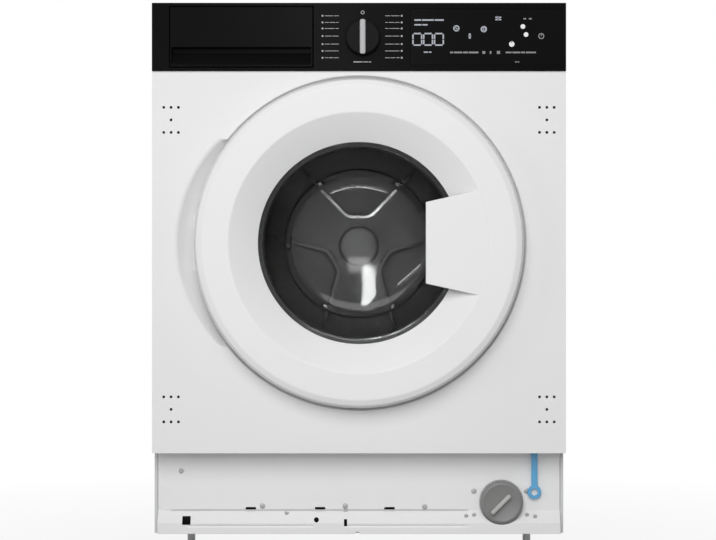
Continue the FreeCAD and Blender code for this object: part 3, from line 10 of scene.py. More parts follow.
import bpy
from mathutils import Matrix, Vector


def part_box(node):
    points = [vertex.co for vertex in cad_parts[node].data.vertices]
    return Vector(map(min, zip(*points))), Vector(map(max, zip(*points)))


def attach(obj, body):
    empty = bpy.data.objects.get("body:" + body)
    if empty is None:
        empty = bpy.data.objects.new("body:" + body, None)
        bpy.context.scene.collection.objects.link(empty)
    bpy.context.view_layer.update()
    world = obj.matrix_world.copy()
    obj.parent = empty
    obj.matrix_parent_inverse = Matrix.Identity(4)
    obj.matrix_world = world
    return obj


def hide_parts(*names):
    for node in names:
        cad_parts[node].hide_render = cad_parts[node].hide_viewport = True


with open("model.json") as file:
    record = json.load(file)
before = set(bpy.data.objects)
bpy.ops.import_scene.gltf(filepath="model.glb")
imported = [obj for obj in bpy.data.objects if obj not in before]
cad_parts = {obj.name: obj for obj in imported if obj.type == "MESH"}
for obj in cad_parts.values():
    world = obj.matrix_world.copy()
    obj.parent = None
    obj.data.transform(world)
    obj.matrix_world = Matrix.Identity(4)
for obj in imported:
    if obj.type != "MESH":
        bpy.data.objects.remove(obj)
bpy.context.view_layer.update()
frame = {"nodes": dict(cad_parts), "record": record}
nodes = frame["nodes"]
body_of = {name: body for body, names in frame["record"]["behaviour"]["bodies"].items() for name in names}
slot_of = {part["node"]: part["material_slot"] for part in frame["record"]["subparts"]}

# %% [markdown]
# The photograph looks straight at the front with no side showing, so a long lens stands three metres
# away. One pixel of the picture is 1.437 mm on the front panel. That and the panel's place in the picture
# give the focal length and the camera's height, and no shift is needed.

# %% Camera
PIXEL = 0.001437
PICTURE_WIDTH = 716
DISTANCE = 3.0
panel_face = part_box("front_panel")[0].y
camera_data = bpy.data.cameras.new("front_lens")
camera_data.sensor_width = 36.0
camera_data.lens = camera_data.sensor_width * DISTANCE / (PICTURE_WIDTH * PIXEL)
camera = bpy.data.objects.new("front_camera", camera_data)
bpy.context.scene.collection.objects.link(camera)
camera.location = (-0.0014, panel_face - DISTANCE, 0.4363)
camera.rotation_euler = (math.radians(90), 0, 0)
bpy.context.scene.camera = camera
print("lens", round(camera_data.lens, 1), "mm")

# %% [markdown]
# A wide soft lamp above the front lights the machine, so slopes that face down are darker than those that
# face up. A lamp at the left brightens the edges that look that way, and a narrow one stands at the
# right. Four small lamps near the lens are there to be mirrored: glass, hub and bands show them as a
# studio's lights. One lamp behind serves the views of the rear. The world is white where it is seen,
# mirrored or looked at through glass, and a weak grey as a light.

# %% Lamps and world


def soft_lamp(name, place, aim, width, height, power):
    """An area lamp at a place that looks at a point."""
    data = bpy.data.lights.new(name, "AREA")
    data.shape = "RECTANGLE"
    data.size = width
    data.size_y = height
    data.energy = power
    lamp = bpy.data.objects.new(name, data)
    lamp.location = place
    lamp.visible_camera = False
    lamp.rotation_euler = (Vector(aim) - Vector(place)).to_track_quat("-Z", "Y").to_euler()
    bpy.context.scene.collection.objects.link(lamp)


soft_lamp("lamp_over", (-0.25, -3.0, 2.2), (0, -0.25, 0.5), 2.2, 1.7, 52)
soft_lamp("lamp_left", (-2.5, -1.7, 1.0), (0, -0.2, 0.45), 0.8, 1.4, 9)
soft_lamp("lamp_right", (1.7, -2.0, 0.9), (0, -0.2, 0.45), 0.35, 1.6, 3.5)
soft_lamp("lamp_lens", (0, -3.3, 0.725), (0, 0.15, 0.54), 0.22, 0.15, 0.9)
soft_lamp("lamp_window", (-0.1, -3.3, 1.14), (0, -0.16, 0.43), 0.13, 0.82, 13)
soft_lamp("lamp_strip", (-1.15, -3.3, 1.0), (0, -0.16, 0.43), 1.5, 0.045, 6)
soft_lamp("lamp_low", (0, -2.4, 0.06), (0, -0.16, 0.43), 0.5, 0.05, 2.6)
soft_lamp("lamp_behind", (0.6, 2.6, 2.2), (0, 0.2, 0.4), 2.0, 1.4, 28)


def seen_mask(tree):
    """A value of 1 where a thing is seen, mirrored or looked at through glass, and of 0 as a light."""
    path = tree.nodes.new("ShaderNodeLightPath")
    mask = path.outputs["Is Camera Ray"]
    for ray in ("Is Glossy Ray", "Is Transmission Ray"):
        either = tree.nodes.new("ShaderNodeMath")
        either.operation = "MAXIMUM"
        tree.links.new(mask, either.inputs[0])
        tree.links.new(path.outputs[ray], either.inputs[1])
        mask = either.outputs[0]
    return mask


world = bpy.data.worlds.new("pale_studio")
bpy.context.scene.world = world
world.use_nodes = True
tree = world.node_tree
tree.nodes.clear()
ambient = tree.nodes.new("ShaderNodeBackground")
ambient.inputs["Color"].default_value = (1, 1, 1, 1)
ambient.inputs["Strength"].default_value = 0.1
white = tree.nodes.new("ShaderNodeBackground")
white.inputs["Color"].default_value = (1, 1, 1, 1)
choose = tree.nodes.new("ShaderNodeMixShader")
world_out = tree.nodes.new("ShaderNodeOutputWorld")
tree.links.new(seen_mask(tree), choose.inputs["Fac"])
tree.links.new(ambient.outputs[0], choose.inputs[1])
tree.links.new(white.outputs[0], choose.inputs[2])
tree.links.new(choose.outputs[0], world_out.inputs["Surface"])
bpy.context.scene.view_settings.view_transform = "Standard"
print("lamps and world are set")

# %% [markdown]
# Three small effects return in many finishes, so each is a node group: a slow drift of tone across a
# surface, a fine grain such as the orange peel of enamel or the texture of a moulding, and the fine lines
# of drawn steel. They put out colours and heights only, and the shader stays in each material.

# %% Shared effects


def group_with(name, inputs, outputs):
    """A shader node group with named sockets; returns it with its input and output nodes."""
    group = bpy.data.node_groups.new(name, "ShaderNodeTree")
    for label, kind, value in inputs:
        socket = group.interface.new_socket(label, in_out="INPUT", socket_type=kind)
        socket.default_value = value
    for label, kind in outputs:
        group.interface.new_socket(label, in_out="OUTPUT", socket_type=kind)
    return group, group.nodes.new("NodeGroupInput"), group.nodes.new("NodeGroupOutput")


def noise_in(group, scale_socket, detail, stretch=(1, 1, 1)):
    """A noise texture on Object coordinates, stretched along the axes."""
    place = group.nodes.new("ShaderNodeTexCoord")
    turn = group.nodes.new("ShaderNodeMapping")
    noise = group.nodes.new("ShaderNodeTexNoise")
    turn.inputs["Scale"].default_value = stretch
    noise.inputs["Detail"].default_value = detail
    group.links.new(place.outputs["Object"], turn.inputs["Vector"])
    group.links.new(turn.outputs["Vector"], noise.inputs["Vector"])
    group.links.new(scale_socket, noise.inputs["Scale"])
    return noise.outputs["Fac"]


drift, drift_in, drift_out = group_with(
    "tone_drift", [("Colour", "NodeSocketColor", (1, 1, 1, 1)), ("Scale", "NodeSocketFloat", 6.0),
                   ("Depth", "NodeSocketFloat", 0.06)],
    [("Colour", "NodeSocketColor")])
shade = drift.nodes.new("ShaderNodeHueSaturation")
level = drift.nodes.new("ShaderNodeMath")
level.operation = "MULTIPLY_ADD"
lowest = drift.nodes.new("ShaderNodeMath")
lowest.operation = "MULTIPLY_ADD"
lowest.inputs[1].default_value = -0.5
lowest.inputs[2].default_value = 1.0
drift.links.new(drift_in.outputs["Depth"], lowest.inputs[0])
drift.links.new(noise_in(drift, drift_in.outputs["Scale"], 3.0), level.inputs[0])
drift.links.new(drift_in.outputs["Depth"], level.inputs[1])
drift.links.new(lowest.outputs[0], level.inputs[2])
drift.links.new(level.outputs[0], shade.inputs["Value"])
drift.links.new(drift_in.outputs["Colour"], shade.inputs["Color"])
drift.links.new(shade.outputs["Color"], drift_out.inputs["Colour"])

grain, grain_in, grain_out = group_with(
    "fine_grain", [("Scale", "NodeSocketFloat", 400.0), ("Roughness", "NodeSocketFloat", 0.4),
                   ("Spread", "NodeSocketFloat", 0.1)],
    [("Height", "NodeSocketFloat"), ("Roughness", "NodeSocketFloat")])
speck = noise_in(grain, grain_in.outputs["Scale"], 2.0)
spread = grain.nodes.new("ShaderNodeMath")
spread.operation = "MULTIPLY_ADD"
grain.links.new(speck, spread.inputs[0])
grain.links.new(grain_in.outputs["Spread"], spread.inputs[1])
grain.links.new(grain_in.outputs["Roughness"], spread.inputs[2])
grain.links.new(spread.outputs[0], grain_out.inputs["Roughness"])
grain.links.new(speck, grain_out.inputs["Height"])

drawn, drawn_in, drawn_out = group_with(
    "drawn_lines", [("Scale", "NodeSocketFloat", 60.0), ("Roughness", "NodeSocketFloat", 0.25),
                    ("Spread", "NodeSocketFloat", 0.2)],
    [("Height", "NodeSocketFloat"), ("Roughness", "NodeSocketFloat")])
lines = noise_in(drawn, drawn_in.outputs["Scale"], 4.0, (14, 0.6, 14))
lift = drawn.nodes.new("ShaderNodeMath")
lift.operation = "MULTIPLY_ADD"
drawn.links.new(lines, lift.inputs[0])
drawn.links.new(drawn_in.outputs["Spread"], lift.inputs[1])
drawn.links.new(drawn_in.outputs["Roughness"], lift.inputs[2])
drawn.links.new(lift.outputs[0], drawn_out.inputs["Roughness"])
drawn.links.new(lines, drawn_out.inputs["Height"])
print("effects:", drift.name, grain.name, drawn.name)

# %% [markdown]
# Every slot of the record gets one finish. Enamel and mouldings differ in colour, gloss and how coarse
# their grain is; metals read the drawn lines. Values that don't change over a surface sit on the shader's
# sockets.

# %% Finishes
finishes = {}


def finish(slot, colour, rough, effect=grain, scale=700.0, bump=0.02, depth=0.05, metal=0.0,
           specular=0.5):
    """A material whose tone drifts slowly and whose gloss and relief follow a fine grain."""
    material = bpy.data.materials.new(slot)
    material.use_nodes = True
    shader = material.node_tree.nodes["Principled BSDF"]
    add = material.node_tree.nodes.new
    link = material.node_tree.links.new
    tone = add("ShaderNodeGroup")
    tone.node_tree = drift
    tone.inputs["Colour"].default_value = (*colour, 1)
    tone.inputs["Depth"].default_value = depth
    texture = add("ShaderNodeGroup")
    texture.node_tree = effect
    texture.inputs["Scale"].default_value = scale
    texture.inputs["Roughness"].default_value = rough
    relief = add("ShaderNodeBump")
    relief.inputs["Strength"].default_value = bump
    relief.inputs["Distance"].default_value = 0.0005
    link(tone.outputs["Colour"], shader.inputs["Base Color"])
    link(texture.outputs["Roughness"], shader.inputs["Roughness"])
    link(texture.outputs["Height"], relief.inputs["Height"])
    link(relief.outputs["Normal"], shader.inputs["Normal"])
    shader.inputs["Metallic"].default_value = metal
    shader.inputs["Specular IOR Level"].default_value = specular
    finishes[slot] = material
    return shader


finish("white_enamel", (0.84, 0.84, 0.84), 0.36, scale=500, bump=0.03, depth=0.03, specular=0.25)
finish("galvanised_side", (0.62, 0.63, 0.64), 0.34, scale=260, bump=0.05, depth=0.12)
finish("white_plastic", (0.87, 0.87, 0.87), 0.32, scale=900, bump=0.02, depth=0.03, specular=0.25)
finish("black_gloss", (0.006, 0.006, 0.006), 0.16, scale=900, bump=0.01, specular=0.01)
finish("black_satin", (0.005, 0.005, 0.005), 0.38, scale=1200, bump=0.05, specular=0.05)
finish("silver_grip", (0.5, 0.5, 0.51), 0.32, drawn, 90, 0.05, specular=0.15)
finish("display_glass", (0.006, 0.006, 0.006), 0.1, scale=400, bump=0.004, specular=0.02)
finish("circuit_board", (0.03, 0.16, 0.07), 0.45, scale=300, bump=0.1)
finish("zinc_steel", (0.5, 0.505, 0.505), 0.3, drawn, 60, 0.08, metal=1.0)
finish("lifter_plastic", (0.2, 0.2, 0.2), 0.36, scale=900, bump=0.04)
finish("tub_plastic", (0.46, 0.46, 0.45), 0.5, scale=500, bump=0.1)
finish("grey_rubber", (0.2, 0.205, 0.21), 0.6, scale=800, bump=0.08)
finish("black_rubber", (0.014, 0.014, 0.015), 0.55, scale=700, bump=0.08, specular=0.3)
finish("grey_plastic", (0.2, 0.2, 0.198), 0.42, scale=900, bump=0.06)
finish("foot_black", (0.018, 0.018, 0.019), 0.6, scale=600, bump=0.1, specular=0.3)
finish("blue_plastic", (0.09, 0.36, 0.63), 0.3, scale=800, bump=0.03)
finish("cast_weight", (0.2, 0.2, 0.195), 0.75, scale=180, bump=0.5, depth=0.2)
finish("cast_aluminium", (0.55, 0.55, 0.56), 0.45, scale=300, bump=0.2, metal=1.0)
finish("motor_grey", (0.09, 0.092, 0.095), 0.5, scale=300, bump=0.15)
print(len(finishes), "finishes so far")

# %% [markdown]
# Glass is clear on its own, but this bowl is smoked, which keeps the drum dark behind it, and its coating
# mirrors less than bare glass. Both are plain values on the shader, and only its gloss carries a trace of
# grain. The drum's steel is darker than bare steel, painted shade for the dim inside of the drum. A
# paler, glossier copy of it is for the narrow bands of the drum's back, a painted highlight along their
# folds.
# The dark zinc is for the screws in front, and the lit mark for what shines through the display.

# %% Glass and drum steel
glass = finish("door_glass", (0.365, 0.367, 0.366), 0.0, scale=40, bump=0.002, depth=0.02)
glass.inputs["Transmission Weight"].default_value = 1.0
glass.inputs["IOR"].default_value = 1.45
glass.inputs["Specular Tint"].default_value = (0.5, 0.5, 0.5, 1)
# The drum's steel is darker than bare steel: painted shade for the dim inside of the drum.
finish("drum_steel", (0.22, 0.222, 0.225), 0.26, drawn, 40, 0.03, metal=1.0)
# A paler, glossier copy of the drum steel for the bands: a painted highlight on top of the lamps they
# mirror.
finish("band_highlight_steel", (0.45, 0.45, 0.45), 0.03, drawn, 40, 0.01, metal=1.0)
finish("dark_zinc", (0.25, 0.25, 0.252), 0.3, drawn, 60, 0.06, metal=1.0)
finish("lit_mark", (0.4, 0.42, 0.47), 0.5, scale=900, bump=0.02)
for name, solid in nodes.items():
    solid.data.materials.clear()
    solid.data.materials.append(finishes[slot_of[name]])
print("finished", len(nodes), "solids")

# %% [markdown]
# Real mouldings and pressed sheets have no knife-sharp edges: a fine round catches the light. A solid's
# own mesh stays as it is, so a copy is merged, its flat triangles are dissolved into whole faces, and a
# bevel modifier rounds the edges. Weighted normals then keep the large faces flat to the light. The copy
# stands for the solid and rides on the same body.

# %% Softened edges


def only(piece):
    """Select one object alone and make it active."""
    bpy.ops.object.select_all(action="DESELECT")
    piece.select_set(True)
    bpy.context.view_layer.objects.active = piece


def applied(piece, kind, **settings):
    """Add a modifier with its settings and apply it."""
    only(piece)
    modifier = piece.modifiers.new(kind.lower(), kind)
    for name, value in settings.items():
        setattr(modifier, name, value)
    bpy.ops.object.modifier_apply(modifier=modifier.name)


def rounded(piece, width, segments, angle=40, clamp=True):
    """Bevel the edges that turn by more than an angle in degrees."""
    applied(piece, "BEVEL", width=width, segments=segments, limit_method="ANGLE",
            angle_limit=math.radians(angle), use_clamp_overlap=clamp)


def placed(name, mesh):
    """A new object that shows a mesh."""
    piece = bpy.data.objects.new(name, mesh)
    bpy.context.scene.collection.objects.link(piece)
    return piece


def tell(piece):
    """Print what was made."""
    print(piece.name, len(piece.data.polygons), "faces")


def settle(piece, body, slot, angle=40, look=None):
    """Smooth, colour and hang a finished piece; the look is the slot's finish unless another is named."""
    only(piece)
    bpy.ops.mesh.customdata_custom_splitnormals_clear()
    bpy.ops.object.shade_smooth_by_angle(angle=math.radians(angle))
    piece.data.materials.clear()
    piece.data.materials.append(finishes[look or slot])
    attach(piece, body)
    return piece


def softened(name, width, segments=2, look=None):
    """A copy of a solid with rounded edges, in the solid's place."""
    piece = placed(name + "_soft", nodes[name].data.copy())
    only(piece)
    bpy.ops.object.mode_set(mode="EDIT")
    bpy.ops.mesh.select_all(action="SELECT")
    bpy.ops.mesh.remove_doubles(threshold=0.00001)
    bpy.ops.mesh.dissolve_limited(angle_limit=math.radians(0.5))
    bpy.ops.object.mode_set(mode="OBJECT")
    rounded(piece, width, segments, clamp=False)
    settle(piece, body_of[name], slot_of[name], look=look)
    applied(piece, "WEIGHTED_NORMAL", keep_sharp=True)
    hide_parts(name)
    return piece


for name, width in (("fascia", 0.0008), ("drawer_front", 0.0008), ("program_knob", 0.0008),
                    ("knob_grip_bar", 0.003), ("door_handle", 0.0012),
                    ("release_strap", 0.0006), ("top_panel", 0.0004), ("rear_cover", 0.0004)):
    tell(softened(name, width))

# %% [markdown]
# The door's outer ring is one white moulding: a rolled outer edge, a flat rim, and a dish that falls to
# the glass. A lathe part is drawn as half a section and spun about the drum's axis. The bevel then rounds
# the corners of the section, and a block cut out at the left leaves room for the hinge.

# %% Door ring
AXIS_Z = (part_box("drum_shell")[0].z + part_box("drum_shell")[1].z) / 2
TURNS = 128


def drafted(name, points, edges, faces):
    """A new object from points, edges and faces."""
    mesh = bpy.data.meshes.new(name)
    mesh.from_pydata(points, edges, faces)
    return placed(name, mesh)


def facing_out(piece):
    """Merge what coincides and turn every face outwards."""
    only(piece)
    bpy.ops.object.mode_set(mode="EDIT")
    bpy.ops.mesh.select_all(action="SELECT")
    bpy.ops.mesh.remove_doubles(threshold=0.000005)
    bpy.ops.mesh.dissolve_degenerate(threshold=0.000001)
    bpy.ops.mesh.normals_make_consistent(inside=False)
    bpy.ops.object.mode_set(mode="OBJECT")
    return piece


def fixed(piece):
    """Put an object's place, turn and scale into its mesh."""
    only(piece)
    bpy.ops.object.transform_apply(location=True, rotation=True, scale=True)
    return piece


def spun(name, section, closed=True):
    """Spin a section of (radius, y) points about the drum's axis."""
    corners = [(radius, y, AXIS_Z) for radius, y in section]
    sides = [(index, index + 1) for index in range(len(corners) - 1)]
    if closed:
        sides.append((len(corners) - 1, 0))
    piece = drafted(name, corners, sides, [])
    only(piece)
    bpy.ops.object.mode_set(mode="EDIT")
    bpy.ops.mesh.select_all(action="SELECT")
    bpy.ops.mesh.spin(steps=TURNS, angle=math.tau, center=(0, 0, AXIS_Z), axis=(0, 1, 0))
    bpy.ops.object.mode_set(mode="OBJECT")
    return facing_out(piece)


def block(name, low, high):
    """A block between two corners, as a cutting tool or to be shaped."""
    bpy.ops.object.select_all(action="DESELECT")
    bpy.ops.mesh.primitive_cube_add(size=1, location=(Vector(low) + Vector(high)) / 2)
    piece = bpy.context.object
    piece.name = name
    piece.scale = Vector(high) - Vector(low)
    return fixed(piece)


def carve(piece, tool):
    """Cut a tool out of a piece and throw the tool away."""
    applied(piece, "BOOLEAN", object=tool, operation="DIFFERENCE", solver="EXACT")
    bpy.data.objects.remove(tool)


ring_low, ring_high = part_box("door_ring")
rim = ring_high.x
front = ring_low.y
section = [(rim, ring_high.y), (rim, front + 0.012), (rim - 0.0035, front + 0.0035), (rim - 0.012, front),
           (0.186, front), (0.165, front + 0.0108), (0.148, front + 0.0214), (0.144, front + 0.0238),
           (0.156, front + 0.0238), (0.172, front + 0.0132), (0.189, front + 0.003),
           (rim - 0.012, front + 0.003), (rim - 0.003, front + 0.012), (rim - 0.003, ring_high.y)]
ring = spun("door_ring_moulding", section)
rounded(ring, 0.0045, 4, 20)
hinge_low, hinge_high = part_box("hinge_bracket")
hinge_room = block("hinge_room", (-0.3, -0.261, hinge_low.z - 0.005),
                   (-0.214, -0.2455, hinge_high.z + 0.005))
carve(ring, hinge_room)
settle(ring, "door", "white_plastic", 30)
applied(ring, "WEIGHTED_NORMAL", keep_sharp=True)
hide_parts("door_ring")
tell(ring)

# %% [markdown]
# The steel panel is pressed in round the door, and further at the hinge side, where the door's edge
# swings in. The press leaves a slope with rounded ends instead of a step. Its outline is the union of two
# discs, so the slope is a loft: one ring of points for each step down the curve.

# %% Pressed slope of the recess
DISC = 0.241
SCOOP = 0.21
SCOOP_SHIFT = 0.052
SCOOP_HALF = 0.149
SLOPE_DEEP = 0.0138
SLOPE_CURVE = 1.8
SLOPE_WIDTH = 0.02
SCOOP_SHARE = 0.45
LOFT_POINTS = 360


def recess_reach(angle):
    """How far the recess reaches from the drum's axis at an angle."""
    across, up = math.cos(angle), math.sin(angle)
    if across >= 0:
        return DISC
    along = -SCOOP_SHIFT * across
    reach = along + math.sqrt(along * along - SCOOP_SHIFT ** 2 + SCOOP ** 2)
    if abs(up) > 0.001:
        reach = min(reach, SCOOP_HALF / abs(up))
    return max(DISC, reach)


def lofted(name, rings):
    """Quads between rings of as many points each; a ring of no width closes an end."""
    count = len(rings[0])
    points = [point for line in rings for point in line]
    quads = []
    for level in range(len(rings) - 1):
        for index in range(count):
            following = (index + 1) % count
            quads.append((level * count + index, level * count + following,
                          (level + 1) * count + following, (level + 1) * count + index))
    return facing_out(drafted(name, points, [], quads))


slope_steps = [(0.004, -0.00015), (0.0, -0.0001)]
for step in range(1, 11):
    along = step / 10
    slope_steps.append((-along, SLOPE_DEEP * (1 - (1 - along) ** SLOPE_CURVE)))
rings = []
for inward, deep in slope_steps:
    line = []
    for index in range(LOFT_POINTS):
        angle = index * math.tau / LOFT_POINTS
        reach = recess_reach(angle)
        width = SLOPE_WIDTH + SCOOP_SHARE * (reach - DISC)
        radius = reach + (inward if inward >= 0 else inward * width)
        line.append((radius * math.cos(angle), panel_face + deep, AXIS_Z + radius * math.sin(angle)))
    rings.append(line)
slope = lofted("recess_slope", rings)
applied(slope, "SOLIDIFY", thickness=0.0004, offset=-1)
settle(slope, "cabinet", "white_enamel", 50)
tell(slope)

# %% [markdown]
# The bowl is pressed glass: a flange that the door clamps, a sloping wall and a blunt end that reaches
# into the drum. Facets would show in its reflections, so it is spun from a section and its corners are
# rounded widely.

# %% Glass bowl
glass_low, glass_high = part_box("door_glass")
flange = glass_high.x
section = [(0.0, glass_high.y), (0.084, glass_high.y - 0.001), (0.102, glass_high.y - 0.005),
           (0.112, glass_high.y - 0.016), (0.139, glass_low.y + 0.0055), (flange, glass_low.y + 0.004),
           (flange, glass_low.y), (0.136, glass_low.y + 0.0002), (0.108, glass_high.y - 0.0165),
           (0.098, glass_high.y - 0.0085), (0.082, glass_high.y - 0.005), (0.0, glass_high.y - 0.004)]
bowl = spun("glass_bowl", section, closed=False)
rounded(bowl, 0.005, 4, 18)
settle(bowl, "door", "door_glass", 60)
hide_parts("door_glass")
tell(bowl)

# %% [markdown]
# With the door open, the grey bellows shows between panel and drum: a lip that the glass presses on, a
# deep fold, and a sleeve over the tub's neck. A section with rounded folds is spun in the place of the
# plain solid.

# %% Door gasket
rubber_low, rubber_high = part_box("door_gasket")
mouth = 0.161
lip = 0.1465
fold = rubber_low.y + 0.013
section = [(mouth, rubber_low.y), (mouth + 0.004, rubber_low.y), (mouth + 0.004, fold - 0.001),
           (0.1802, fold), (0.181, rubber_high.y), (0.177, rubber_high.y), (0.1768, fold + 0.004),
           (0.168, fold + 0.0038), (0.163, fold + 0.002), (0.158, fold + 0.0038),
           (lip + 0.003, fold + 0.004), (lip, fold + 0.002), (lip + 0.002, fold),
           (0.155, fold + 0.0002), (mouth, fold - 0.001)]
bellows = spun("gasket_bellows", section)
rounded(bellows, 0.0014, 3, 20)
settle(bellows, "cabinet", "grey_rubber", 50)
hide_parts("door_gasket")
tell(bellows)

# %% [markdown]
# The drum's back is one pressed disc: a raised star, and three lobes pressed back between the arms of the
# cross behind it. The rings of a loft take a height from a few smooth steps, so the press marks are real
# shape and catch the light as the drum turns.

# %% Drum back
back_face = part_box("drum_shell")[1].y
LOBE_EDGE = 0.006
LOBE_SINK = 0.006
STAR_LIFT = 0.0138
LOBE_NEAR = 0.046
STAR_END = 0.165
STAR_FADE = 0.05


def eased(value):
    """Smooth step from 0 to 1."""
    value = min(1.0, max(0.0, value))
    return value * value * (3 - 2 * value)


def lobe(x, z):
    """How far a point lies inside one of the three pressed lobes, from 0 to 1."""
    best = 0.0
    for index in range(3):
        turn = index * math.tau / 3
        up = z * math.cos(turn) + x * math.sin(turn)
        across = abs(x * math.cos(turn) - z * math.sin(turn))
        inside = min((up - LOBE_NEAR), ((up - LOBE_NEAR + 0.018) - across) * 0.707)
        best = max(best, eased(inside / LOBE_EDGE))
    return best


rings = []
radii = [0.0] + [0.004 * step for step in range(1, 59)] + [0.2345, 0.236]
for radius in radii:
    line = []
    for index in range(LOFT_POINTS):
        angle = index * math.tau / LOFT_POINTS
        x, z = radius * math.cos(angle), radius * math.sin(angle)
        rise = (STAR_LIFT - LOBE_SINK * lobe(x, z)) * (1 - eased((radius - STAR_END) / STAR_FADE))
        line.append((x, back_face - rise, AXIS_Z + z))
    rings.append(line)
back = lofted("drum_back_pressed", rings)
applied(back, "SOLIDIFY", thickness=0.0012, offset=0 if back.data.polygons[0].normal.y > 0 else -1)
settle(back, "drum", "drum_steel", 60)
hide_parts("drum_rear_wall")
tell(back)

# %% [markdown]
# The hub's cover is a small satin disc with a rounded edge, set on the middle of the star.

# %% Hub disc
hub_face = back_face - STAR_LIFT
section = [(0.0, hub_face - 0.003), (0.029, hub_face - 0.003), (0.033, hub_face - 0.001),
           (0.0335, hub_face), (0.0, hub_face)]
hub = spun("hub_disc", section, closed=False)
rounded(hub, 0.001, 3, 15)
settle(hub, "drum", "zinc_steel", 40)
tell(hub)

# %% [markdown]
# A band runs along the edge of each lobe, where the press folds the sheet. Its steel is paler and
# glossier than the drum's, a painted highlight along the fold, and it also shines where a light stands in
# front of it. It is a narrow strip that leans a little towards the lobe: a line of corners on either
# side, filled with quads and thickened. The other lobes take the same line, turned by a third of a round.

# %% Bands of the drum back
BAND = 0.0021
BAND_LIFT = 0.0146
LEAN = 0.00006
band_line = [(-0.092, 0.122), (-0.066, 0.097), (-0.026, 0.055), (-0.0185, 0.0492), (-0.012, 0.0477),
             (0.012, 0.0477), (0.0185, 0.0492), (0.026, 0.055), (0.066, 0.097), (0.092, 0.122)]
for index, label in enumerate(("top", "right", "left")):
    turn = index * math.tau / 3
    corners = []
    for spot, (x, up) in enumerate(band_line):
        before = Vector(band_line[max(spot - 1, 0)])
        after = Vector(band_line[min(spot + 1, len(band_line) - 1)])
        along = (after - before).normalized()
        for side in (1, -1):
            across = x - side * along.y * BAND
            rise = up + side * along.x * BAND
            corners.append((across * math.cos(turn) + rise * math.sin(turn),
                            back_face - BAND_LIFT + side * LEAN,
                            AXIS_Z + rise * math.cos(turn) - across * math.sin(turn)))
    quads = [(2 * spot, 2 * spot + 1, 2 * spot + 3, 2 * spot + 2) for spot in range(len(band_line) - 1)]
    band = drafted("drum_band_" + label, corners, [], quads)
    applied(band, "SOLIDIFY", thickness=0.0012, offset=-1 if band.data.polygons[0].normal.y < 0 else 1)
    # The band's paler steel is a painted highlight along the fold.
    settle(band, "drum", "drum_steel", 30, "band_highlight_steel")
print("bands on three lobes")

# %% [markdown]
# The printed marks of the fascia carry no words here, only bars where a label stands and simple signs.
# Each is a flat ribbon along a line of points, thickened to the film of a print so that it catches light
# as one.

# %% Ribbon tool


def ribbon(corners, faces, points, width, closed=False):
    """Add a flat ribbon of (x, z) points to lists of corners and faces."""
    first = len(corners)
    count = len(points)
    for index, (x, z) in enumerate(points):
        before = points[index - 1] if index or closed else points[index]
        after = points[(index + 1) % count] if index + 1 < count or closed else points[index]
        along = Vector((after[0] - before[0], after[1] - before[1])).normalized()
        corners.append((x - along.y * width / 2, z + along.x * width / 2))
        corners.append((x + along.y * width / 2, z - along.x * width / 2))
    for index in range(count if closed else count - 1):
        low = first + 2 * index
        high = first + 2 * ((index + 1) % count)
        faces.append((low, low + 1, high + 1, high))


def printed(name, strokes, face, look, film=0.0002):
    """A print of many strokes (points, width, closed) on an upright face of the cabinet."""
    corners, faces = [], []
    for points, width, closed in strokes:
        ribbon(corners, faces, points, width, closed)
    piece = drafted(name, [(x, face - film, z) for x, z in corners], [], faces)
    only(piece)
    bpy.ops.object.mode_set(mode="EDIT")
    bpy.ops.mesh.select_all(action="SELECT")
    bpy.ops.mesh.normals_make_consistent(inside=False)
    bpy.ops.mesh.extrude_region_move(TRANSFORM_OT_translate={"value": (0, film * 1.5, 0)})
    bpy.ops.mesh.select_all(action="SELECT")
    bpy.ops.mesh.normals_make_consistent(inside=False)
    bpy.ops.object.mode_set(mode="OBJECT")
    return settle(piece, "cabinet", "white_plastic", 30, look)


def dashes(left, right, z, pieces, width):
    """A row of bars with small gaps, as a line of print looks from afar."""
    strokes = []
    total = sum(pieces)
    gap = 0.0012
    room = (right - left) - gap * (len(pieces) - 1)
    start = left
    for share in pieces:
        end = start + room * share / total
        strokes.append(([(start, z), (end, z)], width, False))
        start = end + gap
    return strokes


def circle(x, z, radius, count=28):
    """Points of a circle."""
    turns = [index * math.tau / count for index in range(count)]
    return [(x + radius * math.cos(turn), z + radius * math.sin(turn)) for turn in turns]


print("ribbons ready")

# %% [markdown]
# Seven labels stand on either side of the knob, each a dot and a broken bar. A small mark above the knob
# shows the rest position.

# %% Marks round the knob
knob_low, knob_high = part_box("program_knob")
knob_x = (knob_low.x + knob_high.x) / 2
fascia_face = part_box("fascia")[0].y
label_heights = (0.8012, 0.7917, 0.7830, 0.7721, 0.7606, 0.7508, 0.7410)
splits = ((5, 3), (3, 4, 2), (6, 2), (4, 4), (3, 5), (7,), (2, 3, 3))
strokes = []
for z, split in zip(label_heights, splits):
    strokes += dashes(-0.0535, -0.0512, z, (1,), 0.0023)
    strokes += dashes(-0.0490, -0.0290, z, split, 0.0007)
    strokes += dashes(0.0375, 0.0580, z, split[::-1], 0.0007)
    strokes += dashes(0.0602, 0.0625, z, (1,), 0.0023)
strokes += dashes(-0.0080, 0.0175, 0.7350, (4, 2, 1), 0.0012)
strokes.append((circle(knob_x, 0.8060, 0.0022), 0.0009, True))
printed("knob_labels", strokes, fascia_face, "tub_plastic")
print("labels in", len(label_heights), "rows")

# %% [markdown]
# The display behind the dark window shows three figures, made of seven segments each. A zero lights six
# of them, so one list of segments, shifted along, draws the row. Signs for the options stand beside it.

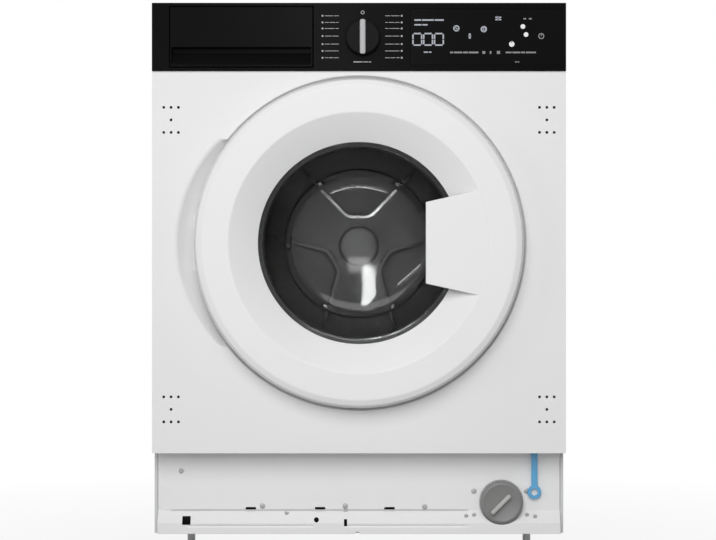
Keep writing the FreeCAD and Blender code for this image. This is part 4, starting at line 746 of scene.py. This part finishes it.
# %% Display figures and signs
window_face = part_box("display_window")[0].y
FIGURE_WIDTH = 0.0125
FIGURE_HEIGHT = 0.0165
FIGURE_LOW = 0.7592
FIGURE_LEFT = 0.0775
FIGURE_STEP = 0.0155
SEGMENT = 0.0021
NOTCH = 0.0011
high = FIGURE_LOW + FIGURE_HEIGHT
middle = (FIGURE_LOW + high) / 2
strokes = []
for index in range(3):
    left = FIGURE_LEFT + index * FIGURE_STEP
    right = left + FIGURE_WIDTH
    for side in (left, right):
        strokes.append(([(side, FIGURE_LOW + NOTCH), (side, middle - NOTCH / 2)], SEGMENT, False))
        strokes.append(([(side, middle + NOTCH / 2), (side, high - NOTCH)], SEGMENT, False))
    for level in (FIGURE_LOW, high):
        strokes.append(([(left + NOTCH, level), (right - NOTCH, level)], SEGMENT, False))
strokes += dashes(0.0795, 0.1218, 0.7951, (3, 5, 4), 0.0022)
strokes += dashes(0.0795, 0.0985, 0.7883, (4, 3), 0.0020)
strokes += dashes(0.0930, 0.1040, 0.7490, (2, 1), 0.0018)
printed("display_figures", strokes, window_face, "lit_mark")

strokes = [(circle(0.1398, 0.7832, 0.0036), 0.0018, True),
           ([(0.1362, 0.7868), (0.1434, 0.7796)], 0.0014, False),
           ([(0.1590, 0.7685), (0.1590, 0.7758)], 0.0028, False),
           ([(0.1568, 0.7720), (0.1612, 0.7720)], 0.0014, False),
           (circle(0.1792, 0.7820, 0.0034), 0.0022, True),
           ([(0.1792, 0.7785), (0.1792, 0.7855)], 0.0012, False),
           ([(0.1958, 0.7990), (0.2042, 0.7990)], 0.0020, False),
           ([(0.1958, 0.7958), (0.2042, 0.7958)], 0.0020, False),
           ([(0.2000, 0.7945), (0.2000, 0.8004)], 0.0018, False)]
printed("option_signs", strokes, window_face, "lit_mark")
strokes = [(circle(0.2193, 0.7606, 0.0021), 0.0036, True),
           ([(0.2193, 0.7626), (0.2193, 0.7648)], 0.0016, False),
           (circle(0.2353, 0.7858, 0.0018), 0.0031, True),
           (circle(0.2398, 0.7743, 0.0018), 0.0031, True)]
printed("option_lamps", strokes, window_face, "white_plastic")

strokes = dashes(0.1308, 0.1715, 0.7486, (2, 5, 3, 6), 0.0024)
strokes += dashes(0.1772, 0.1812, 0.7486, (1,), 0.0040)
strokes += dashes(0.1878, 0.1900, 0.7486, (1,), 0.0040)
strokes += dashes(0.1980, 0.2025, 0.7486, (1,), 0.0044)
strokes += dashes(0.2105, 0.2540, 0.7486, (3, 4, 2, 5), 0.0022)
strokes += [(circle(0.2617, 0.7721, 0.0036), 0.0014, True),
            ([(0.2617, 0.7721), (0.2617, 0.7752)], 0.0012, False)]
strokes += dashes(0.2360, 0.2400, 0.7970, (1,), 0.0020)
strokes += dashes(0.2440, 0.2480, 0.7970, (1,), 0.0020)
strokes += dashes(0.2240, 0.2300, 0.7350, (1, 1), 0.0016)
printed("option_labels", strokes, window_face, "grey_plastic")
print("figures and signs on the window")

# %% [markdown]
# The plinth sheet is folded, so its bends are round, and the press leaves a few small holes and the fine
# creases of the folding bars along the bend. The copy gets its rounded bends first and is then drilled,
# so that the holes stay crisp. For a crease, the sheet is bisected along three lines and the middle one
# is pushed in.

# %% Plinth sheet
CREASE = 0.0022
CREASE_DEEP = 0.0018
RUN_OUT = 0.012
plinth = softened("plinth_panel", 0.0004, 1)
lip_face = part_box("plinth_panel")[0].y
bpy.ops.object.select_all(action="DESELECT")
bpy.ops.mesh.primitive_cylinder_add(vertices=24, radius=0.0036, depth=0.03,
                                    location=(-0.0618, lip_face, 0.0735),
                                    rotation=(math.radians(90), 0, 0))
carve(plinth, bpy.context.object)
carve(plinth, block("drain_slot", (-0.0217, lip_face - 0.01, 0.0645),
                    (-0.0172, lip_face + 0.008, 0.0745)))
carve(plinth, block("drip_slot", (-0.005, lip_face - 0.01, 0.053), (0.0005, lip_face + 0.004, 0.0565)))
for left, right, level in ((-0.283, 0.166, 0.0862), (-0.25, -0.066, 0.0648), (-0.024, 0.16, 0.0648)):
    only(plinth)
    bpy.ops.object.mode_set(mode="EDIT")
    for place in (level - CREASE, level, level + CREASE):
        bpy.ops.mesh.select_all(action="SELECT")
        bpy.ops.mesh.bisect(plane_co=(0, 0, place), plane_no=(0, 0, 1))
    for place in (left, left + RUN_OUT, right - RUN_OUT, right):
        bpy.ops.mesh.select_all(action="SELECT")
        bpy.ops.mesh.bisect(plane_co=(place, 0, 0), plane_no=(1, 0, 0))
    bpy.ops.object.mode_set(mode="OBJECT")
    for vertex in plinth.data.vertices:
        near = 1 - abs(vertex.co.z - level) / CREASE
        along = min(1.0, (vertex.co.x - left) / RUN_OUT, (right - vertex.co.x) / RUN_OUT)
        vertex.co.y += CREASE_DEEP * max(0.0, near) * max(0.0, along)
settle(plinth, "cabinet", "white_enamel", 10)
tell(plinth)

# %% [markdown]
# One sheet-metal screw serves the whole cabinet: a low round head with a cross recess. It is modelled
# once at the origin, with its axis along -Y, and every use is a copy with a mesh of its own.

# %% Sheet-metal screw
HEAD_STAND = 0.0008
bpy.ops.object.select_all(action="DESELECT")
bpy.ops.mesh.primitive_cylinder_add(vertices=32, radius=0.0036, depth=0.0022, location=(0, 0, 0),
                                    rotation=(math.radians(90), 0, 0))
screw = fixed(bpy.context.object)
rounded(screw, 0.0008, 3)
for turn in (0, 90):
    tool = block("cross_cut", (-0.0022, -0.002, -0.00035), (0.0022, -0.0003, 0.00035))
    tool.rotation_euler = (0, math.radians(turn + 20), 0)
    carve(screw, fixed(tool))


def screws(group, places, rear=False, size=1.0):
    """Copies of the screw at places, joined as one piece; rear ones look along +Y."""
    copies = []
    for x, y, z in places:
        copy = placed(group, screw.data.copy())
        copy.location = (x, y, z)
        copy.scale = (size, size, size)
        copy.rotation_euler = (0, math.radians(37 * len(copies)), math.pi if rear else 0)
        copies.append(copy)
    bpy.ops.object.select_all(action="DESELECT")
    for copy in copies:
        copy.select_set(True)
    bpy.context.view_layer.objects.active = copies[0]
    bpy.ops.object.join()
    copies[0].name = group
    return settle(fixed(copies[0]), "cabinet", "zinc_steel", 35, "zinc_steel" if rear else "dark_zinc")


plinth_face = lip_face + 0.012
flat_spots = ((-0.2588, 0.144), (-0.1406, 0.0928), (-0.0200, 0.0928), (0.0957, 0.0915), (0.1672, 0.1145),
              (0.2443, 0.1145))
screws("plinth_screws", [(x, plinth_face - HEAD_STAND, z) for x, z in flat_spots])
screws("fold_screws", [(-0.1051, plinth_face - 0.0033, 0.0828), (0.1672, plinth_face - 0.0051, 0.0805),
                       (0.2443, plinth_face - 0.0051, 0.0805), (0.2559, plinth_face - 0.0066, 0.0783),
                       (0.1557, plinth_face - 0.0060, 0.0790), (-0.0194, plinth_face + 0.0002, 0.0858)],
       size=0.8)
print("screws set along the plinth")

# %% [markdown]
# The pump filter is a turned plastic plug: a cap with a ribbed rim, a slightly hollow face, and a neck
# with a groove for the seal. Rings of points give the rim its ribs, and a bevelled bar across the face is
# the grip.

# %% Pump filter
RIBS = 36
RIB_POINTS = LOFT_POINTS // 2
plug_low, plug_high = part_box("filter_plug")
seal_low, seal_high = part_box("filter_seal")
plug_x = (seal_low.x + seal_high.x) / 2
plug_z = (seal_low.z + seal_high.z) / 2
cap_radius = plug_high.z - plug_z
cap_face = plug_low.y + 0.008
neck = (seal_high.x - seal_low.x) / 2
plug_steps = [(cap_face + 0.0012, 0.0, 0), (cap_face + 0.0012, 0.024, 0), (cap_face, 0.0265, 0),
              (cap_face + 0.0008, cap_radius - 0.0022, 0), (cap_face + 0.0025, cap_radius, 0.0008),
              (cap_face + 0.0155, cap_radius, 0.0008), (cap_face + 0.0163, cap_radius - 0.001, 0),
              (cap_face + 0.0164, neck, 0), (seal_low.y - 0.0003, neck, 0),
              (seal_low.y - 0.0003, neck - 0.003, 0), (seal_high.y + 0.0003, neck - 0.003, 0),
              (seal_high.y + 0.0003, neck, 0),
              (plug_high.y - 0.003, neck, 0), (plug_high.y, neck - 0.003, 0), (plug_high.y, 0.0, 0)]
rings = []
for y, radius, rib in plug_steps:
    line = []
    for index in range(RIB_POINTS):
        angle = index * math.tau / RIB_POINTS
        reach = radius - rib * (0.5 + 0.5 * math.cos(RIBS * angle))
        line.append((plug_x + reach * math.cos(angle), y, plug_z + reach * math.sin(angle)))
    rings.append(line)
plug = lofted("filter_plug_ribbed", rings)
settle(plug, "filter_plug", "grey_plastic", 35)
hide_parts("filter_plug")
grip = block("filter_grip", (-0.0031, plug_low.y, -0.0215), (0.0031, cap_face + 0.002, 0.0165))
grip.rotation_euler = (0, math.radians(45), 0)
grip.location = (plug_x, 0, plug_z)
fixed(grip)
rounded(grip, 0.0022, 3)
settle(grip, "filter_plug", "tub_plastic", 40)
tell(plug)

# %% [markdown]
# Each foot is a black pad with a moulded slope, a threaded steel stem and a lock nut under the tray. The
# pieces are built once, as rings about the foot's own axis, and all four feet take copies.

# %% Feet
RIDGES = 28
PITCH = 0.0014
foot_low, foot_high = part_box("foot_front_left")
pad_radius = (foot_high.x - foot_low.x) / 2
tray_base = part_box("base_tray")[0].z


def stacked(name, steps, count=32, sides=0):
    """Rings about the Z axis at the origin; with a number of sides they are polygons."""
    rings = []
    for z, radius in steps:
        line = []
        for index in range(count):
            angle = index * math.tau / count
            reach = radius
            if sides:
                sector = math.tau / sides
                reach = radius * math.cos(sector / 2) / math.cos(angle % sector - sector / 2)
            line.append((reach * math.cos(angle), reach * math.sin(angle), z))
        rings.append(line)
    return lofted(name, rings)


pad_steps = [(0.0, 0.0), (0.0, pad_radius - 0.003), (0.001, pad_radius - 0.001), (0.002, pad_radius),
             (0.006, pad_radius), (0.0072, pad_radius - 0.0012), (0.0098, 0.0135), (0.0128, 0.0098),
             (0.014, 0.0088), (0.014, 0.0)]
stem_steps = [(0.0138, 0.0), (0.0138, 0.0054)]
for ridge in range(RIDGES):
    base = 0.0142 + ridge * PITCH
    stem_steps += [(base, 0.0054), (base + PITCH / 2, 0.006)]
stem_steps += [(tray_base + 0.001, 0.0056), (foot_high.z, 0.0056), (foot_high.z, 0.0)]
nut_steps = [(tray_base - 0.0066, 0.0058), (tray_base - 0.0066, 0.0092), (tray_base - 0.006, 0.0104),
             (tray_base - 0.0008, 0.0104), (tray_base - 0.0002, 0.0092), (tray_base - 0.0002, 0.0058)]
nut_steps.append(nut_steps[0])
foot_kit = [(stacked("pad", pad_steps), "foot_black", 30),
            (stacked("stem", stem_steps), "zinc_steel", 20),
            (stacked("nut", nut_steps, 48, 6), "zinc_steel", 30)]
for name in ("foot_front_left", "foot_front_right", "foot_rear_left", "foot_rear_right"):
    low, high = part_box(name)
    for pattern, slot, angle in foot_kit:
        copy = placed(name + "_" + pattern.name, pattern.data.copy())
        copy.location = ((low.x + high.x) / 2, (low.y + high.y) / 2, 0)
        settle(fixed(copy), name, slot, angle)
        if slot == "foot_black":
            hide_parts(name)
for kit in foot_kit:
    bpy.data.objects.remove(kit[0])
print("four feet")

# %% [markdown]
# A black strip closes the room behind the plinth's fold: painted shade, so that its holes look dark.

# %% Painted shade strip
# A black sheet behind the fold, painted shade for the holes in front of it.
strip = block("plinth_shade_strip", (-0.276, lip_face + 0.0102, 0.0565), (0.008, lip_face + 0.0122, 0.083))
rounded(strip, 0.0006, 2)
settle(strip, "cabinet", "black_rubber", 40, "black_satin")
print(strip.name, "behind the fold")

# %% [markdown]
# Thin side and top sheets drum when the machine spins, so the press gives them long stiffening grooves. A
# rounded bar is sunk into the outer face of a copy of each sheet and cut away, less deep than the sheet
# is thick.

# %% Stiffening grooves
GROOVE = 0.0007


def bar_tool(low, high, round_width):
    """A bar with rounded edges and ends, as a cutting tool."""
    tool = block("groove_tool", low, high)
    rounded(tool, round_width, 6)
    return tool


for name, sign in (("side_panel_left", -1), ("side_panel_right", 1)):
    sheet = softened(name, 0.0003, 1)
    outer = max(abs(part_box(name)[0].x), abs(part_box(name)[1].x))
    inner_face = sign * (outer - GROOVE)
    past = sign * (outer + 0.04)
    for z in (0.24, 0.47, 0.70):
        low = (min(inner_face, past), -0.17, z - 0.016)
        high = (max(inner_face, past), 0.20, z + 0.016)
        carve(sheet, bar_tool(low, high, 0.0159))
    settle(sheet, "cabinet", slot_of[name], 4)
    tell(sheet)

roof = bpy.data.objects["top_panel_soft"]
roof_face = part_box("top_panel")[1].z
for x in (-0.15, 0.0, 0.15):
    low = (x - 0.014, -0.16, roof_face - GROOVE)
    high = (x + 0.014, 0.22, roof_face + 0.04)
    carve(roof, bar_tool(low, high, 0.0139))
settle(roof, "cabinet", slot_of["top_panel"], 4)
tell(roof)

# %% [markdown]
# The rear isn't in the photograph. Its sheet carries a round service cover over the pulley, which screws
# hold all round, and screws along the folded edges of the sides. The screw pattern from the plinth is
# used again.

# %% Rear screws
COVER_REACH = 0.171
EDGE_REACH = 0.288
EDGE_STEP = 0.1
rear_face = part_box("rear_panel")[1].y
cover_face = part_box("rear_cover")[1].y
cover_spots = []
for index in range(8):
    angle = (index + 0.5) * math.tau / 8
    cover_spots.append((COVER_REACH * math.cos(angle), cover_face + HEAD_STAND,
                        AXIS_Z + COVER_REACH * math.sin(angle)))
screws("cover_screws", cover_spots, rear=True)
edge_spots = []
for side in (-1, 1):
    for step in range(8):
        edge_spots.append((side * EDGE_REACH, rear_face + HEAD_STAND, 0.09 + EDGE_STEP * step))
edge_spots += [(x, rear_face + HEAD_STAND, 0.8085) for x in (-0.2, -0.07, 0.07, 0.2)]
screws("rear_edge_screws", edge_spots, rear=True)
bpy.data.objects.remove(screw)
print("screws on the rear")

# %% [markdown]
# Two shallow ridges are pressed outwards beside the cover, where the sheet is widest. Each is a
# flat-topped bar: a cube whose outer edges are bevelled wide, so that it leans into the sheet.

# %% Rear ridges
for sign, label in ((-1, "left"), (1, "right")):
    ridge = block("rear_ridge_" + label, (sign * 0.243 - 0.011, rear_face - 0.0004, 0.2),
                  (sign * 0.243 + 0.011, rear_face + 0.0022, 0.7))
    rounded(ridge, 0.0021, 4)
    settle(ridge, "cabinet", slot_of["rear_panel"], 50)
print("two ridges on the rear sheet")

# %% [markdown]
# The water inlet has a three-quarter-inch thread. Its crests are a row of rings about the stub's axis,
# each a small three-cornered section carried round.

# %% Inlet thread
CRESTS = 5
CREST_STEP = 0.002
THREAD_POINTS = 48
inlet_low, inlet_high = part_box("inlet_valve")
inlet_x = (inlet_low.x + inlet_high.x) / 2
inlet_z = (inlet_low.z + inlet_high.z) / 2
thread_steps = [(inlet_high.y - 0.0112, 0.0122)]
for crest in range(CRESTS):
    base = inlet_high.y - 0.011 + crest * CREST_STEP
    thread_steps += [(base, 0.0128), (base + CREST_STEP / 2, 0.0139)]
thread_steps += [(inlet_high.y - 0.0009, 0.0128), (inlet_high.y - 0.0005, 0.0122), thread_steps[0]]
rings = []
for y, radius in thread_steps:
    outline = circle(inlet_x, inlet_z, radius, THREAD_POINTS)
    rings.append([(x, y, z) for x, z in outline])
thread = lofted("inlet_thread", rings)
settle(thread, "cabinet", slot_of["inlet_valve"], 20)
tell(thread)

# %% [markdown]
# The other mouldings that show from behind, in the open door or with the drawer drawn get fine rounds as
# well. The hinge's bracket is painted like the panel that it is screwed to.

# %% More softened edges
for name, width in (("transit_plugs", 0.0008), ("cord_gland", 0.0008), ("drawer_tray", 0.0005),
                    ("drum_lifters", 0.005), ("hinge_arm", 0.0006), ("door_hook", 0.0006),
                    ("siphon_insert", 0.0005)):
    tell(softened(name, width, 3))
tell(softened("hinge_bracket", 0.0004, 3, "white_enamel"))

# %% [markdown]
# The drum's wall is punched all round: each hole has a rolled lip that keeps the laundry whole. Lips and
# holes are small rings and discs on the wall's inner face, laid in staggered rows. The holes are not cut:
# the black discs inside the lips are painted shade, where one would look into the dark behind the wall.
# One loop builds them, because they repeat by the hundred.

# %% Drum perforations
SPOKES = 8
ROWS = 13
FIRST_ROW = 0.05
ROW_STEP = 0.0185
WALL_DEEP = 0.0016
HOLES_ROUND = 60
HOLE_RISE = 0.0003
lip_rings = ((0.0036, 0.0), (0.0027, 0.0009), (0.0018, HOLE_RISE))
shell_low, shell_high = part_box("drum_shell")
wall = (shell_high.z - shell_low.z) / 2 - WALL_DEEP
lip_points, lip_faces, hole_points, hole_faces = [], [], [], []
for row in range(ROWS):
    y = shell_low.y + FIRST_ROW + row * ROW_STEP
    for spot in range(HOLES_ROUND):
        around = (spot + 0.5 * (row % 2)) * math.tau / HOLES_ROUND
        first, middle = len(lip_points), len(hole_points)
        for radius, rise in lip_rings:
            for spoke in range(SPOKES):
                angle = spoke * math.tau / SPOKES
                turn = around + radius * math.cos(angle) / wall
                reach = wall - rise
                lip_points.append((reach * math.cos(turn), y + radius * math.sin(angle),
                                   AXIS_Z + reach * math.sin(turn)))
                if rise == HOLE_RISE:
                    hole_points.append(lip_points[-1])
        for level in range(len(lip_rings)):
            low = first + level * SPOKES
            high = first + (level + 1) % len(lip_rings) * SPOKES
            for spoke in range(SPOKES):
                following = (spoke + 1) % SPOKES
                lip_faces.append((low + spoke, low + following, high + following, high + spoke))
        hole_faces.append(tuple(range(middle, middle + SPOKES)))
# The hole discs are black: painted shade for the dark behind the wall.
for name, points, faces, look in (("drum_lips", lip_points, lip_faces, "drum_steel"),
                                  ("drum_holes", hole_points, hole_faces, "black_satin")):
    punched = drafted(name, points, [], faces)
    if name == "drum_holes":
        applied(punched, "SOLIDIFY", thickness=0.0002, offset=0)
    settle(facing_out(punched), "drum", "drum_steel", 60, look)
    tell(punched)

# %% [markdown]
# The floor is a plain round sheet that only carries the shadow. It isn't part of the machine. It looks
# white, because it glows where it is seen or mirrored, and a little less near the machine, where the
# shadow falls. As a light it is a mid grey, so that it throws little back up at the front.

# %% Floor
bpy.ops.object.select_all(action="DESELECT")
bpy.ops.mesh.primitive_circle_add(vertices=96, radius=2.2, fill_type="NGON", location=(0, 0, -0.0005))
floor = fixed(bpy.context.object)
floor.name = "studio_floor"
floor_paint = bpy.data.materials.new("floor_paint")
floor_paint.use_nodes = True
tree = floor_paint.node_tree
floor_shader = tree.nodes["Principled BSDF"]
floor_shader.inputs["Roughness"].default_value = 0.9
floor_shader.inputs["Specular IOR Level"].default_value = 0.1
floor_tone = tree.nodes.new("ShaderNodeGroup")
floor_tone.node_tree = drift
floor_tone.inputs["Colour"].default_value = (0.4, 0.4, 0.4, 1)
floor_tone.inputs["Depth"].default_value = 0.01
glow = tree.nodes.new("ShaderNodeEmission")
glow.inputs["Color"].default_value = (1, 1, 1, 1)
place = tree.nodes.new("ShaderNodeTexCoord")
distance = tree.nodes.new("ShaderNodeVectorMath")
distance.operation = "LENGTH"
fade = tree.nodes.new("ShaderNodeMapRange")
for label, value in (("From Min", 0.4), ("From Max", 1.3), ("To Min", 0.9), ("To Max", 1.0)):
    fade.inputs[label].default_value = value
share = tree.nodes.new("ShaderNodeMath")
share.operation = "MULTIPLY"
choose = tree.nodes.new("ShaderNodeMixShader")
tree.links.new(floor_tone.outputs["Colour"], floor_shader.inputs["Base Color"])
tree.links.new(place.outputs["Object"], distance.inputs[0])
tree.links.new(distance.outputs["Value"], fade.inputs["Value"])
tree.links.new(seen_mask(tree), share.inputs[0])
tree.links.new(fade.outputs["Result"], share.inputs[1])
tree.links.new(share.outputs[0], choose.inputs["Fac"])
tree.links.new(floor_shader.outputs[0], choose.inputs[1])
tree.links.new(glow.outputs[0], choose.inputs[2])
tree.links.new(choose.outputs[0], tree.nodes["Material Output"].inputs["Surface"])
floor.data.materials.append(floor_paint)
print("floor laid")
